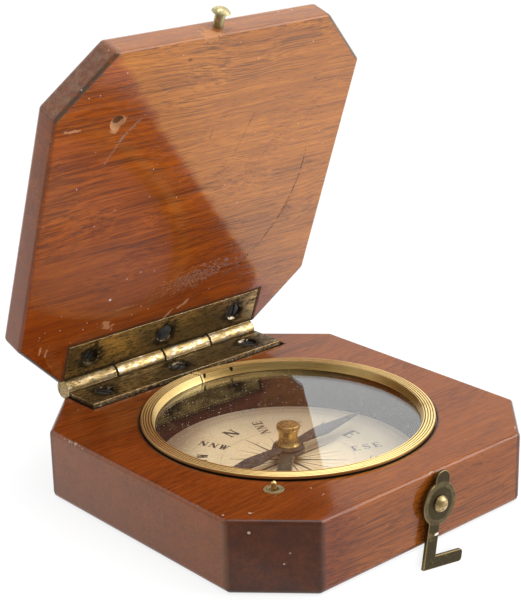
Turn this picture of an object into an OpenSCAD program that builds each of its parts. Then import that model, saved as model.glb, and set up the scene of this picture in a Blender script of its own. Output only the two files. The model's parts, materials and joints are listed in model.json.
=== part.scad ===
// Pocket magnetic compass in a hinged wooden case
// Sizes are in millimetres and angles in degrees. The origin is the centre of the base's underside,
// X runs along the hinge, the latch is on the -Y face, the hinge on the +Y face, and Z is up.
// The lid is drawn open, the latch hook hangs, the plunger is up and the needle rests on its pivot.

/* [Case] */
// Width of the case along the hinge
case_w = 82.5; // [78:0.5:95]
// Depth of the case from the latch face to the hinge face
case_d = 82.5; // [80:0.5:95]
// Leg of the cut at each upright corner
corner_cut = 12.7; // [9:0.1:15]
// Height of the base block
base_h = 15.8; // [15.4:0.1:20]
// Thickness of the lid
lid_t = 6.4; // [5.6:0.1:9]
// Break on the top and bottom edges of the wood
edge_break = 0.5; // [0.2:0.1:1]
// Angle of the lid above shut, as drawn
lid_open = 70.25; // [0:0.25:180]
// Gap left over the bezel when the lid is shut
shut_clearance = 0.1; // [0.05:0.05:0.5]

/* [Bowl and card] */
// Radius of the turned bowl
bowl_r = 29; // [26:0.25:30]
// Wood left under the bowl
bowl_floor = 4.5; // [3.5:0.1:4.9]
// Distance of the bowl's axis in front of the case's centre
bowl_forward = 1; // [0.5:0.1:2]
// Thickness of the paper dial card
card_t = 0.3; // [0.2:0.05:0.5]
// Gap between the card's edge and the bowl
card_play = 0.2; // [0.1:0.05:0.5]

/* [Glass and bezel] */
// Thickness of the glass
glass_t = 1; // [0.8:0.1:1.2]
// Depth of the glass below the top of the bezel
glass_depth = 1.8; // [1.5:0.1:2.1]
// Width of the ledge that the glass rests on
glass_lap = 1.1; // [0.8:0.1:1.3]
// Gap around the glass inside the bezel's skirt
glass_play = 0.2; // [0.1:0.05:0.3]
// Width of the bezel from the bowl's wall to its outer edge
bezel_w = 2.5; // [2.3:0.05:3]
// Height of the bezel above the base
bezel_proud = 0.9; // [0.6:0.05:1.2]
// Height of the bezel's flange with its beads
bezel_flange_t = 1.1; // [0.9:0.05:1.2]
// Wall of the skirt that reaches down beside the glass
bezel_skirt_t = 0.7; // [0.5:0.05:0.8]
// Overhang of the bezel's inner lip over the bowl
bezel_lip = 0.55; // [0.2:0.05:0.8]
// Width of the reeded band
bead_band = 2.2; // [1.6:0.05:2.4]
// Number of beads in the reeded band
bead_count = 4; // [2:1:5]
// Height of each bead above the grooves
bead_rise = 0.2; // [0.1:0.02:0.24]
// Width of the split in the bezel
bezel_split = 0.3; // [0.2:0.05:0.6]
// Slant of the split across the bezel
bezel_split_slant = 22; // [0:1:30]
// Gap between the bezel's flange and the wood around it
bezel_play = 0.25; // [0.1:0.05:0.4]

/* [Hinge] */
// Radius of the hinge barrel
barrel_r = 2.2; // [1.8:0.05:2.2]
// Distance of the hinge's axis behind the case
hinge_back = 1.75; // [1.7:0.05:2.2]
// Radius of the hinge pin
hinge_pin_r = 0.8; // [0.6:0.05:1]
// Thickness of each hinge leaf
leaf_t = 1.4; // [1:0.1:1.6]
// Distance from each corner cut to the end of the hinge
leaf_end = 1.05; // [0.5:0.05:3]
// Gap between the bezel and the front edge of the base leaf
leaf_front_gap = 1; // [0.7:0.05:2]
// Gap between the two leaves when the lid is shut
leaf_gap = 0.15; // [0.1:0.05:0.3]
// Number of knuckles, taken in turn by the base leaf and the lid leaf
knuckle_count = 4; // [3:1:6]
// Distance between the leaf screws
screw_pitch = 21; // [17:0.5:23]
// Radius of a leaf screw's head
leaf_screw_head_r = 1.9; // [1.6:0.1:2]
// Depth of a leaf screw's head below the leaf's face
leaf_screw_sink = 0.35; // [0.1:0.05:0.4]
// Radius of a leaf screw's shank
leaf_screw_r = 0.95; // [0.8:0.05:1.1]
// Length of the base leaf's screws
base_screw_l = 8; // [5:0.5:9]
// Length of the lid leaf's screws
lid_screw_l = 5.2; // [4:0.1:5.8]

/* [Needle] */
// Length of the needle
needle_l = 48; // [40:0.5:50]
// Width of the needle at its shoulders
needle_w = 4; // [3:0.1:5]
// Width of the needle where it leaves the hub
needle_neck_w = 1.3; // [1:0.1:2]
// Distance of the shoulders from the pivot
needle_shoulder = 11; // [8:0.5:14]
// Thickness of the needle
needle_t = 0.5; // [0.4:0.05:0.6]
// Radius of the needle's hub
hub_r = 3.3; // [2.8:0.1:3.8]
// Direction of the needle from the X axis, as drawn
needle_dir = 4.5; // [0:0.5:359]
// Radius of the cap at its flanges
cap_r = 2.6; // [2.3:0.05:3]
// Radius of the cap at its waist
cap_waist_r = 2.05; // [1.9:0.05:2.2]
// Height of the cap above the needle
cap_h = 4.8; // [4.6:0.1:5.1]
// Radius of the jewel in the cap
jewel_r = 1; // [0.8:0.05:1.1]
// Height of the jewel
jewel_h = 1; // [0.8:0.05:1.2]
// Radius of the pivot post
post_r = 0.9; // [0.7:0.05:1]
// Radius of the steel pivot point
point_r = 0.35; // [0.25:0.05:0.45]

/* [Needle lifter] */
// Direction of the lifter from the bowl's axis
lifter_dir = 223; // [215:1:230]
// Distance of the plunger outside the bezel
plunger_outset = 3.7; // [2.4:0.05:4.2]
// Radius of the plunger
plunger_r = 0.55; // [0.4:0.05:0.7]
// Height of the plunger above the base
plunger_proud = 1.7; // [1.2:0.1:1.8]
// Travel of the plunger
plunger_travel = 0.95; // [0.6:0.05:1]
// Radius of the bush's flange
bush_flange_r = 2.1; // [1.8:0.1:2.3]
// Distance of the lever's fulcrum from the bowl's axis
fulcrum_reach = 15.5; // [13:0.5:17]
// Width of the lever
lever_w = 3; // [2.4:0.1:3.4]
// Thickness of the lever
lever_t = 0.7; // [0.5:0.05:0.8]
// Outer radius of the lever's ring
lever_ring_r = 3.6; // [3:0.1:4]
// Radius of the hole in the lever's ring
lever_hole_r = 1.6; // [1.4:0.05:1.65]
// Radius of the lever's pin
lever_pin_r = 0.4; // [0.3:0.05:0.45]
// Thickness of the bracket's ears
ear_t = 0.7; // [0.5:0.05:0.9]
// Thickness of the bow spring's strip
spring_t = 0.3; // [0.2:0.05:0.4]
// Width of the bow spring
spring_w = 2.4; // [1.8:0.1:2.8]

/* [Latch] */
// Sideways place of the hook's pivot
hook_x = 2.5; // [0:0.1:5]
// Height of the hook's pivot
hook_z = 9.2; // [8:0.1:10]
// Angle at which the hook hangs
hook_hang = 9; // [0:0.5:15]
// Thickness of the hook
hook_t = 0.8; // [0.6:0.05:1]
// Radius of the hook's eye
hook_eye_r = 4.6; // [4:0.1:5]
// Width of the finger tab
hook_tab_w = 4.1; // [3.4:0.1:4.6]
// Height of the finger tab above the pivot
hook_tab_h = 7; // [6:0.1:8]
// Width of the hook's shank
hook_shank_w = 3.15; // [2.6:0.05:3.6]
// Distance of the shank's outer edge from the pivot's centre line
hook_shank_x = 2.4; // [2:0.05:3]
// Length of the hook's foot along its outer edge
hook_foot_l = 11.4; // [10:0.1:12]
// Height of the hook's foot
hook_foot_h = 2.7; // [2:0.1:3.2]
// Thickness of the washer behind the hook
washer_t = 0.65; // [0.4:0.05:0.9]
// Radius of the hook's pivot pin
hook_pin_r = 0.95; // [0.8:0.05:1.1]
// Radius of the pivot pin's domed head
hook_dome_r = 1.8; // [1.5:0.05:2.2]
// Height of the pivot pin's domed head
hook_dome_h = 1.3; // [1:0.05:1.5]
// Lean of the hook past upright when it holds the stud
latch_lean = 10; // [5:1:15]
// Sideways place of the lid's stud
stud_x = -0.8; // [-2:0.1:1]
// Radius of the stud's shank
stud_r = 1.13; // [0.9:0.01:1.3]
// Length of the stud's shank outside the wood
stud_l = 3; // [2.8:0.1:3.6]
// Radius of the stud's mushroom head
stud_head_r = 2.05; // [1.8:0.05:2.4]
// Height of the stud's mushroom head
stud_head_h = 1.1; // [0.8:0.05:1.4]

/* [Hidden] */
$fn = 96;

// Small distances that several pieces share
eps = 0.01;
running = 0.05;
side_play = 0.1;
knuckle_gap = 0.15;
recess_play = 0.2;
slot_w = 0.5;
slot_depth = 0.5;

// Colours
wood = [0.55, 0.27, 0.13];
wood_lid = [0.62, 0.31, 0.14];
brass = [0.72, 0.58, 0.30];
old_brass = [0.55, 0.46, 0.28];
blued = [0.28, 0.24, 0.25];
grey_steel = [0.42, 0.41, 0.39];
paper = [0.86, 0.80, 0.66];
clear = [0.80, 0.86, 0.86, 0.35];
agate = [0.45, 0.20, 0.12];

// Places of the shut lid and of the hinge
front_y = -case_d/2;
closed_gap = bezel_proud + shut_clearance;
lid_z = base_h + closed_gap;
hinge_y = case_d/2 + hinge_back;
hinge_z = lid_z - leaf_gap/2;

// Bowl, glass and bezel
bowl_y = -bowl_forward;
card_top = bowl_floor + card_t;
bezel_r = bowl_r + bezel_w;
bezel_top = base_h + bezel_proud;
bezel_seat_z = bezel_top - bezel_flange_t;
glass_top = bezel_top - glass_depth;
glass_z = glass_top - glass_t;
glass_r = bowl_r + glass_lap;
skirt_in_r = glass_r + glass_play;
skirt_out_r = skirt_in_r + bezel_skirt_t;
skirt_play = 0.1;
lip_r = bowl_r - bezel_lip;
lip_edge = 0.25;
bead_pitch = bead_band/bead_count;
bead_r = (bead_pitch*bead_pitch/4 + bead_rise*bead_rise)/(2*bead_rise);
bead_half = asin(bead_pitch/2/bead_r);
bead_steps = 8;

// Hinge leaves
leaf_l = case_w - 2*corner_cut - 2*leaf_end;
leaf_front_y = bowl_y + bezel_r + leaf_front_gap;
leaf_back_y = hinge_y - barrel_r - knuckle_gap;
leaf_screw_y = (leaf_front_y + hinge_y - barrel_r)/2;
knuckle_l = leaf_l/knuckle_count;

// Lever: the needle rises by what the ring's far edge rises, less the gap that it takes up first
plunger_reach = bezel_r + plunger_outset;
tenon_r = 1.7;
tenon_below = 0.1;
ring_gap = 0.2;
ring_touch = 0.03;
ring_rise = plunger_travel*(fulcrum_reach + tenon_r)/(plunger_reach - fulcrum_reach);
needle_lift = ring_rise - ring_gap + ring_touch;
lift_clearance = 0.1;

// Heights of the needle, its cap, jewel and pivot, worked down from the glass
cap_top = glass_z - lift_clearance - needle_lift;
needle_top = cap_top - cap_h;
needle_z = needle_top - needle_t;
tenon_z = needle_z - tenon_below;
cap_bore_r = 1.25;
cap_crown = 1.1;
cap_flange_h = 1.1;
cap_rim_h = 0.5;
jewel_top = cap_top - cap_crown;
jewel_z = jewel_top - jewel_h;
jewel_cup_r = 0.6;
jewel_cup_h = 0.6;
point_top = jewel_z + jewel_cup_h - running;
point_cone_h = 1.4;
point_bury = 1.5;
post_flange_r = 2;
post_flange_h = 0.8;
post_spigot_h = 3;
post_cone_h = 0.7;
post_top = needle_top + 0.3;

// Heights of the lever, its pin and bracket
lever_top = tenon_z - ring_gap;
lever_z = lever_top - lever_t;
lever_knuckle_r = lever_pin_r + running + 0.3;
fulcrum_z = lever_z - 0.15;
lever_tail = 2.5;
plate_t = 0.4;
plate_w = 3;
plate_top = card_top + plate_t;
ear_r = 0.9;
ear_inner_y = lever_w/2 + side_play;
bracket_screw_y = ear_inner_y + ear_t + 1.6;
bracket_screw_r = 0.5;
bracket_screw_head_r = 1;
bracket_screw_head_h = 0.6;
bracket_screw_bury = 2;
plate_end = 1.4;

// Plunger, bush, spring and the mortise that they work in
mortise_w = lever_w + 1.2;
mortise_end = plunger_reach + lever_tail + 0.8;
mortise_top = lever_top + 1;
bush_l = 3.8;
bush_flange_t = 0.8;
bush_tube_r = 1.3;
bush_mouth_r = 1;
bush_mouth_depth = 0.6;
bush_z = base_h - bush_l;
collar_r = 1.1;
collar_h = 0.8;
collar_hole_r = bush_tube_r + 0.1;
plunger_foot_gap = 0.08;
plunger_z = lever_top + plunger_foot_gap;
plunger_top = base_h + plunger_proud;
spring_chord = 8;
spring_x = plunger_reach - 1.2;
spring_rise = lever_z - 0.02 - bowl_floor;
spring_r = (spring_chord*spring_chord/4 + spring_rise*spring_rise)/(2*spring_rise);

// Hollow worn into the lid over the plunger
pit_depth = plunger_proud - closed_gap + 0.2;
pit_sphere_r = 2.2;

// Latch
hook_back_y = front_y - washer_t - side_play;
hook_head_y = hook_back_y - hook_t - side_play;
hook_pin_bury = 7;
washer_r = 2.6;
tab_r = hook_tab_w/2;
foot_round_r = 0.8;
latch_play = 0.12;
stud_z = lid_z + lid_t/2;
stud_bury = 6;
hook_reach = (stud_x - hook_x)*sin(latch_lean) + (stud_z - hook_z)*cos(latch_lean)
             + stud_r + latch_play;

// Octagonal slab with its top and bottom edges broken
module octagon_2d(inset) {
    w = case_w/2 - inset;
    d = case_d/2 - inset;
    c = corner_cut - inset*(2 - sqrt(2));
    polygon([[w, d - c], [w - c, d], [c - w, d], [-w, d - c],
             [-w, c - d], [c - w, -d], [w - c, -d], [w, c - d]]);
}

module octagon_slab(z, t) {
    hull() {
        translate([0, 0, z + edge_break]) linear_extrude(t - 2*edge_break) octagon_2d(0);
        translate([0, 0, z]) linear_extrude(t) octagon_2d(edge_break);
    }
}

// Swings what is drawn for the shut lid up to the lid's open angle
module at_lid() {
    translate([0, hinge_y, hinge_z]) rotate([-lid_open, 0, 0])
        translate([0, -hinge_y, -hinge_z]) children();
}

module at_bowl() {
    translate([0, bowl_y, 0]) children();
}

// Turns local X along the lifter, from the bowl's axis towards the plunger
module at_lifter() {
    at_bowl() rotate([0, 0, lifter_dir]) children();
}

// Local X to the right, local Y up and local Z out of the latch face
module at_latch(x, z, y) {
    translate([x, y, z]) rotate([90, 0, 0]) children();
}

// Countersunk wood screw, head up, sunk below the origin; its cone goes on upwards by rise
module leaf_screw_shape(l, rise) {
    cone_h = leaf_screw_head_r - leaf_screw_r;
    translate([0, 0, -leaf_screw_sink - cone_h])
        cylinder(h = cone_h + rise, r1 = leaf_screw_r, r2 = leaf_screw_head_r + rise);
    translate([0, 0, -leaf_screw_sink - l]) cylinder(h = l - eps, r = leaf_screw_r);
}

module leaf_screw(l, turn) {
    difference() {
        leaf_screw_shape(l, 0);
        rotate([0, 0, turn])
            translate([-leaf_screw_head_r, -slot_w/2, -leaf_screw_sink - slot_depth])
            cube([2*leaf_screw_head_r, slot_w, 2*slot_depth]);
    }
}

module at_leaf_screws() {
    for (i = [-1:1]) translate([i*screw_pitch, leaf_screw_y, 0]) children();
}

// Holes of the leaf screws through a leaf and into the wood
module leaf_screw_holes(l) {
    at_leaf_screws() leaf_screw_shape(l, leaf_screw_sink);
}

// One leaf with every second knuckle, its face at the gap below the hinge's axis
module hinge_leaf(first, bore_r) {
    face_z = hinge_z - leaf_gap/2;
    difference() {
        union() {
            translate([-leaf_l/2, leaf_front_y, face_z - leaf_t])
                cube([leaf_l, leaf_back_y - leaf_front_y, leaf_t]);
            for (i = [first:2:knuckle_count - 1]) {
                x = i*knuckle_l - leaf_l/2 + knuckle_gap/2;
                translate([x, leaf_back_y - eps, face_z - leaf_t])
                    cube([knuckle_l - knuckle_gap, hinge_y - leaf_back_y, leaf_t]);
                translate([x, hinge_y, hinge_z]) rotate([0, 90, 0])
                    cylinder(h = knuckle_l - knuckle_gap, r = barrel_r);
            }
        }
        translate([-leaf_l, hinge_y, hinge_z]) rotate([0, 90, 0])
            cylinder(h = 2*leaf_l, r = bore_r);
        translate([0, 0, face_z]) leaf_screw_holes(base_screw_l);
    }
}

// Recess for a leaf, open at the hinge face
module leaf_recess(z, t) {
    translate([-leaf_l/2 - recess_play, leaf_front_y - recess_play, z])
        cube([leaf_l + 2*recess_play, case_d, t]);
}

module base_case() {
    color(wood) difference() {
        octagon_slab(0, base_h);
        at_bowl() translate([0, 0, bowl_floor]) cylinder(h = base_h, r = bowl_r);
        at_bowl() translate([0, 0, glass_z]) cylinder(h = base_h, r = skirt_out_r + skirt_play);
        at_bowl() translate([0, 0, bezel_seat_z]) cylinder(h = base_h, r = bezel_r + bezel_play);
        at_bowl() translate([0, 0, bowl_floor - post_spigot_h])
            cylinder(h = 2*post_spigot_h, r = post_r);
        leaf_recess(hinge_z - leaf_gap/2 - leaf_t, 2*leaf_t);
        translate([0, 0, hinge_z - leaf_gap/2]) leaf_screw_holes(base_screw_l);
        at_latch(hook_x, hook_z, front_y + hook_pin_bury)
            cylinder(h = 2*hook_pin_bury, r = hook_pin_r);
        at_lifter() {
            translate([bowl_r - 1, -mortise_w/2, bowl_floor])
                cube([mortise_end - bowl_r + 1, mortise_w, mortise_top - bowl_floor]);
            translate([plunger_reach, 0, mortise_top - eps])
                cylinder(h = bush_z - mortise_top + 2*eps, r = collar_hole_r);
            translate([plunger_reach, 0, bush_z]) cylinder(h = base_h, r = bush_tube_r);
            translate([plunger_reach, 0, base_h - bush_flange_t])
                cylinder(h = base_h, r = bush_flange_r);
            for (s = [-1, 1]) translate([fulcrum_reach, s*bracket_screw_y, bowl_floor - bracket_screw_bury])
                cylinder(h = 2*bracket_screw_bury, r = bracket_screw_r);
        }
    }
}

module lid() {
    color(wood_lid) at_lid() difference() {
        octagon_slab(lid_z, lid_t);
        leaf_recess(lid_z - leaf_t, 2*leaf_t);
        translate([0, 0, lid_z]) mirror([0, 0, 1]) leaf_screw_holes(lid_screw_l);
        at_latch(stud_x, stud_z, front_y + stud_bury) cylinder(h = 2*stud_bury, r = stud_r);
        at_lifter() translate([plunger_reach, 0, lid_z + pit_depth - pit_sphere_r])
            sphere(r = pit_sphere_r);
    }
}

module base_hinge_leaf() {
    color(old_brass) hinge_leaf(0, hinge_pin_r);
}

module lid_hinge_leaf() {
    color(old_brass) at_lid() translate([0, 0, 2*hinge_z]) mirror([0, 0, 1])
        hinge_leaf(1, hinge_pin_r + running);
}

module hinge_pin() {
    color(brass) translate([-leaf_l/2, hinge_y, hinge_z]) rotate([0, 90, 0])
        cylinder(h = leaf_l, r = hinge_pin_r);
}

module base_leaf_screws() {
    color(grey_steel) translate([0, 0, hinge_z - leaf_gap/2])
        at_leaf_screws() leaf_screw(base_screw_l, 30);
}

module lid_leaf_screws() {
    color(grey_steel) at_lid() translate([0, 0, lid_z]) mirror([0, 0, 1])
        at_leaf_screws() leaf_screw(lid_screw_l, 70);
}

// Points over one round bead, from its outer groove to just before its inner one
function bead_points(mid) = [for (k = [0:bead_steps - 1])
    let (a = bead_half*(1 - 2*k/bead_steps)) [mid + bead_r*sin(a), bezel_top - bead_r + bead_r*cos(a)]];

// Split ring with a reeded flange, a sloping inner lip over the glass and a skirt beside it
module bezel_ring() {
    beads = [for (i = [0:bead_count - 1]) each bead_points(bezel_r - (i + 0.5)*bead_pitch)];
    color(brass) at_bowl() difference() {
        rotate_extrude() polygon(concat(
            [[lip_r, glass_top], [skirt_in_r, glass_top], [skirt_in_r, glass_z + lip_edge],
             [skirt_out_r, glass_z + lip_edge], [skirt_out_r, bezel_seat_z], [bezel_r, bezel_seat_z]],
            beads,
            [[bezel_r - bead_band, bezel_top - bead_rise], [lip_r, glass_top + lip_edge]]));
        translate([0, lip_r, 0]) rotate([0, 0, bezel_split_slant])
            translate([-bezel_split/2, -bezel_w, glass_z]) cube([bezel_split, 3*bezel_w, base_h]);
    }
}

module glass() {
    color(clear) at_bowl() translate([0, 0, glass_z]) cylinder(h = glass_t, r = glass_r);
}

module dial_card() {
    color(paper) at_bowl() difference() {
        translate([0, 0, bowl_floor]) cylinder(h = card_t, r = bowl_r - card_play);
        translate([0, 0, bowl_floor - eps]) cylinder(h = 1, r = post_flange_r + side_play);
        rotate([0, 0, lifter_dir]) for (s = [-1, 1])
            translate([fulcrum_reach, s*bracket_screw_y, bowl_floor - eps])
                cylinder(h = 1, r = bracket_screw_r);
    }
}

// Brass post with a flange on the bowl's floor and a spigot in the wood
module pivot_post() {
    color(brass) at_bowl() difference() {
        union() {
            translate([0, 0, bowl_floor - post_spigot_h])
                cylinder(h = post_top - bowl_floor + post_spigot_h - post_cone_h, r = post_r);
            translate([0, 0, bowl_floor]) cylinder(h = post_flange_h, r = post_flange_r);
            translate([0, 0, post_top - post_cone_h])
                cylinder(h = post_cone_h, r1 = post_r, r2 = point_r + 0.15);
        }
        translate([0, 0, post_top - point_bury]) cylinder(h = point_bury + 1, r = point_r);
    }
}

module pivot_point() {
    color(grey_steel) at_bowl() {
        translate([0, 0, post_top - point_bury])
            cylinder(h = point_top - point_cone_h - post_top + point_bury + eps, r = point_r);
        translate([0, 0, point_top - point_cone_h])
            cylinder(h = point_cone_h, r1 = point_r, r2 = 0);
    }
}

// Flat needle: a round hub and two arms that swell to a shoulder and taper to a point
module needle() {
    neck = needle_neck_w/2;
    half_w = needle_w/2;
    outline = [[0, neck], [needle_shoulder, half_w], [needle_l/2, 0], [needle_shoulder, -half_w],
               [0, -neck], [-needle_shoulder, -half_w], [-needle_l/2, 0], [-needle_shoulder, half_w]];
    color(blued) at_bowl() rotate([0, 0, needle_dir]) difference() {
        union() {
            translate([0, 0, needle_z]) cylinder(h = needle_t, r = hub_r);
            translate([0, 0, needle_z]) linear_extrude(needle_t) polygon(outline);
        }
        translate([0, 0, needle_z - 1]) cylinder(h = needle_t + 2, r = tenon_r);
    }
}

// Waisted spool with a rounded crown, a tenon through the needle and a bore for the pivot
module needle_cap() {
    waist_h = cap_h - cap_flange_h - cap_rim_h;
    waist_mid = needle_top + cap_rim_h + waist_h/2;
    sag = cap_r - cap_waist_r;
    waist_curve_r = (waist_h*waist_h/4 + sag*sag)/(2*sag);
    crown_r = cap_flange_h/2;
    color(brass) at_bowl() difference() {
        union() {
            difference() {
                translate([0, 0, needle_top]) cylinder(h = cap_h - crown_r, r = cap_r);
                rotate_extrude() translate([cap_waist_r + waist_curve_r, waist_mid])
                    circle(r = waist_curve_r);
            }
            translate([0, 0, cap_top - crown_r]) rotate_extrude()
                translate([cap_r - crown_r, 0]) circle(r = crown_r, $fn = 48);
            translate([0, 0, cap_top - cap_flange_h])
                cylinder(h = cap_flange_h, r = cap_r - crown_r);
            translate([0, 0, tenon_z]) cylinder(h = needle_top - tenon_z + eps, r = tenon_r);
        }
        translate([0, 0, tenon_z - 1]) cylinder(h = jewel_z - tenon_z + 1, r = cap_bore_r);
        translate([0, 0, jewel_z - running])
            cylinder(h = jewel_h + 2*running, r = jewel_r + running);
    }
}

module cap_jewel() {
    color(agate) at_bowl() difference() {
        translate([0, 0, jewel_z]) cylinder(h = jewel_h, r = jewel_r);
        translate([0, 0, jewel_z]) cylinder(h = jewel_cup_h, r1 = jewel_cup_r, r2 = 0);
    }
}

// Lever with a ring around the post, a knuckle on its fulcrum and a tail under the plunger
module lifter_lever() {
    tail_x = plunger_reach + lever_tail - lever_w/2;
    color(grey_steel) at_lifter() difference() {
        union() {
            translate([0, 0, lever_z]) cylinder(h = lever_t, r = lever_ring_r);
            translate([0, -lever_w/2, lever_z]) cube([tail_x, lever_w, lever_t]);
            translate([tail_x, 0, lever_z]) cylinder(h = lever_t, r = lever_w/2);
            translate([fulcrum_reach, lever_w/2, fulcrum_z]) rotate([90, 0, 0])
                cylinder(h = lever_w, r = lever_knuckle_r);
        }
        translate([0, 0, lever_z - 1]) cylinder(h = lever_t + 2, r = lever_hole_r);
        translate([fulcrum_reach, lever_w, fulcrum_z]) rotate([90, 0, 0])
            cylinder(h = 2*lever_w, r = lever_pin_r + running);
    }
}

// Plate on the card with two ears that hold the lever's pin
module lever_bracket() {
    plate_half = bracket_screw_y + plate_end;
    color(brass) at_lifter() translate([fulcrum_reach, 0, 0]) difference() {
        union() {
            translate([-plate_w/2, -plate_half, card_top]) cube([plate_w, 2*plate_half, plate_t]);
            for (s = [-1, 1]) translate([0, s*(ear_inner_y + ear_t/2), 0]) {
                translate([-ear_r, -ear_t/2, card_top]) cube([2*ear_r, ear_t, fulcrum_z - card_top]);
                translate([0, ear_t/2, fulcrum_z]) rotate([90, 0, 0])
                    cylinder(h = ear_t, r = ear_r);
            }
        }
        translate([0, plate_half, fulcrum_z]) rotate([90, 0, 0])
            cylinder(h = 2*plate_half, r = lever_pin_r);
        for (s = [-1, 1]) translate([0, s*bracket_screw_y, card_top - 1])
            cylinder(h = 3, r = bracket_screw_r);
    }
}

module lever_pin() {
    pin_l = 2*(ear_inner_y + ear_t);
    color(grey_steel) at_lifter() translate([fulcrum_reach, pin_l/2, fulcrum_z])
        rotate([90, 0, 0]) cylinder(h = pin_l, r = lever_pin_r);
}

module bracket_screws() {
    color(brass) at_lifter() for (s = [-1, 1])
        translate([fulcrum_reach, s*bracket_screw_y, 0]) difference() {
            union() {
                translate([0, 0, bowl_floor - bracket_screw_bury])
                    cylinder(h = plate_top - bowl_floor + bracket_screw_bury + eps, r = bracket_screw_r);
                translate([0, 0, plate_top])
                    cylinder(h = bracket_screw_head_h, r = bracket_screw_head_r);
            }
            translate([-bracket_screw_head_r, -slot_w/4, plate_top + bracket_screw_head_h/2])
                cube([2*bracket_screw_head_r, slot_w/2, bracket_screw_head_h]);
        }
}

// Bow of thin strip on the mortise's floor that holds the lever's tail up
module lifter_spring() {
    color(brass) at_lifter() translate([spring_x, spring_w/2, bowl_floor]) rotate([90, 0, 0])
        linear_extrude(spring_w) intersection() {
            translate([0, spring_rise - spring_r]) difference() {
                circle(r = spring_r);
                circle(r = spring_r - spring_t);
            }
            translate([-spring_chord, 0]) square([2*spring_chord, spring_rise + 1]);
        }
}

// Pin with a collar under the bush and domed ends
module lifter_plunger() {
    color(brass) at_lifter() translate([plunger_reach, 0, 0]) {
        translate([0, 0, plunger_z + plunger_r])
            cylinder(h = plunger_top - plunger_z - 2*plunger_r, r = plunger_r);
        translate([0, 0, plunger_z + plunger_r]) sphere(r = plunger_r);
        translate([0, 0, plunger_top - plunger_r]) sphere(r = plunger_r);
        translate([0, 0, bush_z - side_play - collar_h]) cylinder(h = collar_h, r = collar_r);
    }
}

module plunger_bush() {
    color(old_brass) at_lifter() translate([plunger_reach, 0, 0]) difference() {
        union() {
            translate([0, 0, bush_z]) cylinder(h = bush_l, r = bush_tube_r);
            translate([0, 0, base_h - bush_flange_t]) cylinder(h = bush_flange_t, r = bush_flange_r);
        }
        translate([0, 0, bush_z - 1]) cylinder(h = bush_l + 2, r = plunger_r + running);
        translate([0, 0, base_h - bush_mouth_depth]) cylinder(h = 1, r = bush_mouth_r);
    }
}

// Hook's outline about its pivot, as it would hang with its shank upright
module hook_outline() {
    foot_end = hook_foot_l - hook_shank_x;
    foot_low = -hook_reach - hook_foot_h;
    circle(r = hook_eye_r);
    translate([0, hook_tab_h - tab_r]) circle(r = tab_r);
    translate([-tab_r, 0]) square([hook_tab_w, hook_tab_h - tab_r]);
    translate([-hook_shank_x, foot_low]) square([hook_shank_w, -foot_low]);
    translate([-hook_shank_x, foot_low])
        square([hook_foot_l - foot_round_r, hook_foot_h]);
    translate([foot_end - 2*foot_round_r, foot_low + foot_round_r])
        square([2*foot_round_r, hook_foot_h - 2*foot_round_r]);
    for (y = [foot_low + foot_round_r, -hook_reach - foot_round_r])
        translate([foot_end - foot_round_r, y]) circle(r = foot_round_r);
}

module hook() {
    color(brass) at_latch(hook_x, hook_z, hook_back_y) rotate([0, 0, -hook_hang])
        linear_extrude(hook_t) difference() {
            hook_outline();
            circle(r = hook_pin_r + running);
        }
}

module hook_washer() {
    color(old_brass) at_latch(hook_x, hook_z, front_y) difference() {
        cylinder(h = washer_t, r = washer_r);
        translate([0, 0, -1]) cylinder(h = washer_t + 2, r = hook_pin_r);
    }
}

// Pin driven into the base, with a domed head outside the hook
module hook_pivot() {
    dome_curve_r = (hook_dome_r*hook_dome_r + hook_dome_h*hook_dome_h)/(2*hook_dome_h);
    color(brass) at_latch(hook_x, hook_z, 0) {
        translate([0, 0, -front_y - hook_pin_bury])
            cylinder(h = hook_pin_bury + front_y - hook_head_y + eps, r = hook_pin_r);
        translate([0, 0, -hook_head_y]) intersection() {
            translate([0, 0, hook_dome_h - dome_curve_r]) sphere(r = dome_curve_r);
            cylinder(h = hook_dome_h, r = hook_dome_r);
        }
    }
}

// Mushroom-headed stud in the lid's front edge
module lid_stud() {
    head_curve_r = (stud_head_r*stud_head_r + stud_head_h*stud_head_h)/(2*stud_head_h);
    rim_h = 0.3;
    color(brass) at_lid() at_latch(stud_x, stud_z, front_y) {
        translate([0, 0, -stud_bury]) cylinder(h = stud_bury + stud_l + eps, r = stud_r);
        translate([0, 0, stud_l]) cylinder(h = rim_h, r1 = stud_r, r2 = stud_head_r);
        translate([0, 0, stud_l + rim_h]) intersection() {
            translate([0, 0, stud_head_h - head_curve_r]) sphere(r = head_curve_r);
            cylinder(h = stud_head_h, r = stud_head_r);
        }
    }
}

base_case();
lid();
base_hinge_leaf();
lid_hinge_leaf();
hinge_pin();
base_leaf_screws();
lid_leaf_screws();
bezel_ring();
glass();
dial_card();
pivot_post();
pivot_point();
needle();
needle_cap();
cap_jewel();
lifter_lever();
lever_bracket();
lever_pin();
bracket_screws();
lifter_spring();
lifter_plunger();
plunger_bush();
hook();
hook_washer();
hook_pivot();
lid_stud();
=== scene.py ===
"""Dresses a cased pocket compass: mahogany case, brass fittings, glass, printed dial and needle."""

import json
import math

import bmesh
import bpy
from bpy.props import FloatProperty, FloatVectorProperty, IntProperty, PointerProperty
from mathutils import Matrix, Vector


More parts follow.
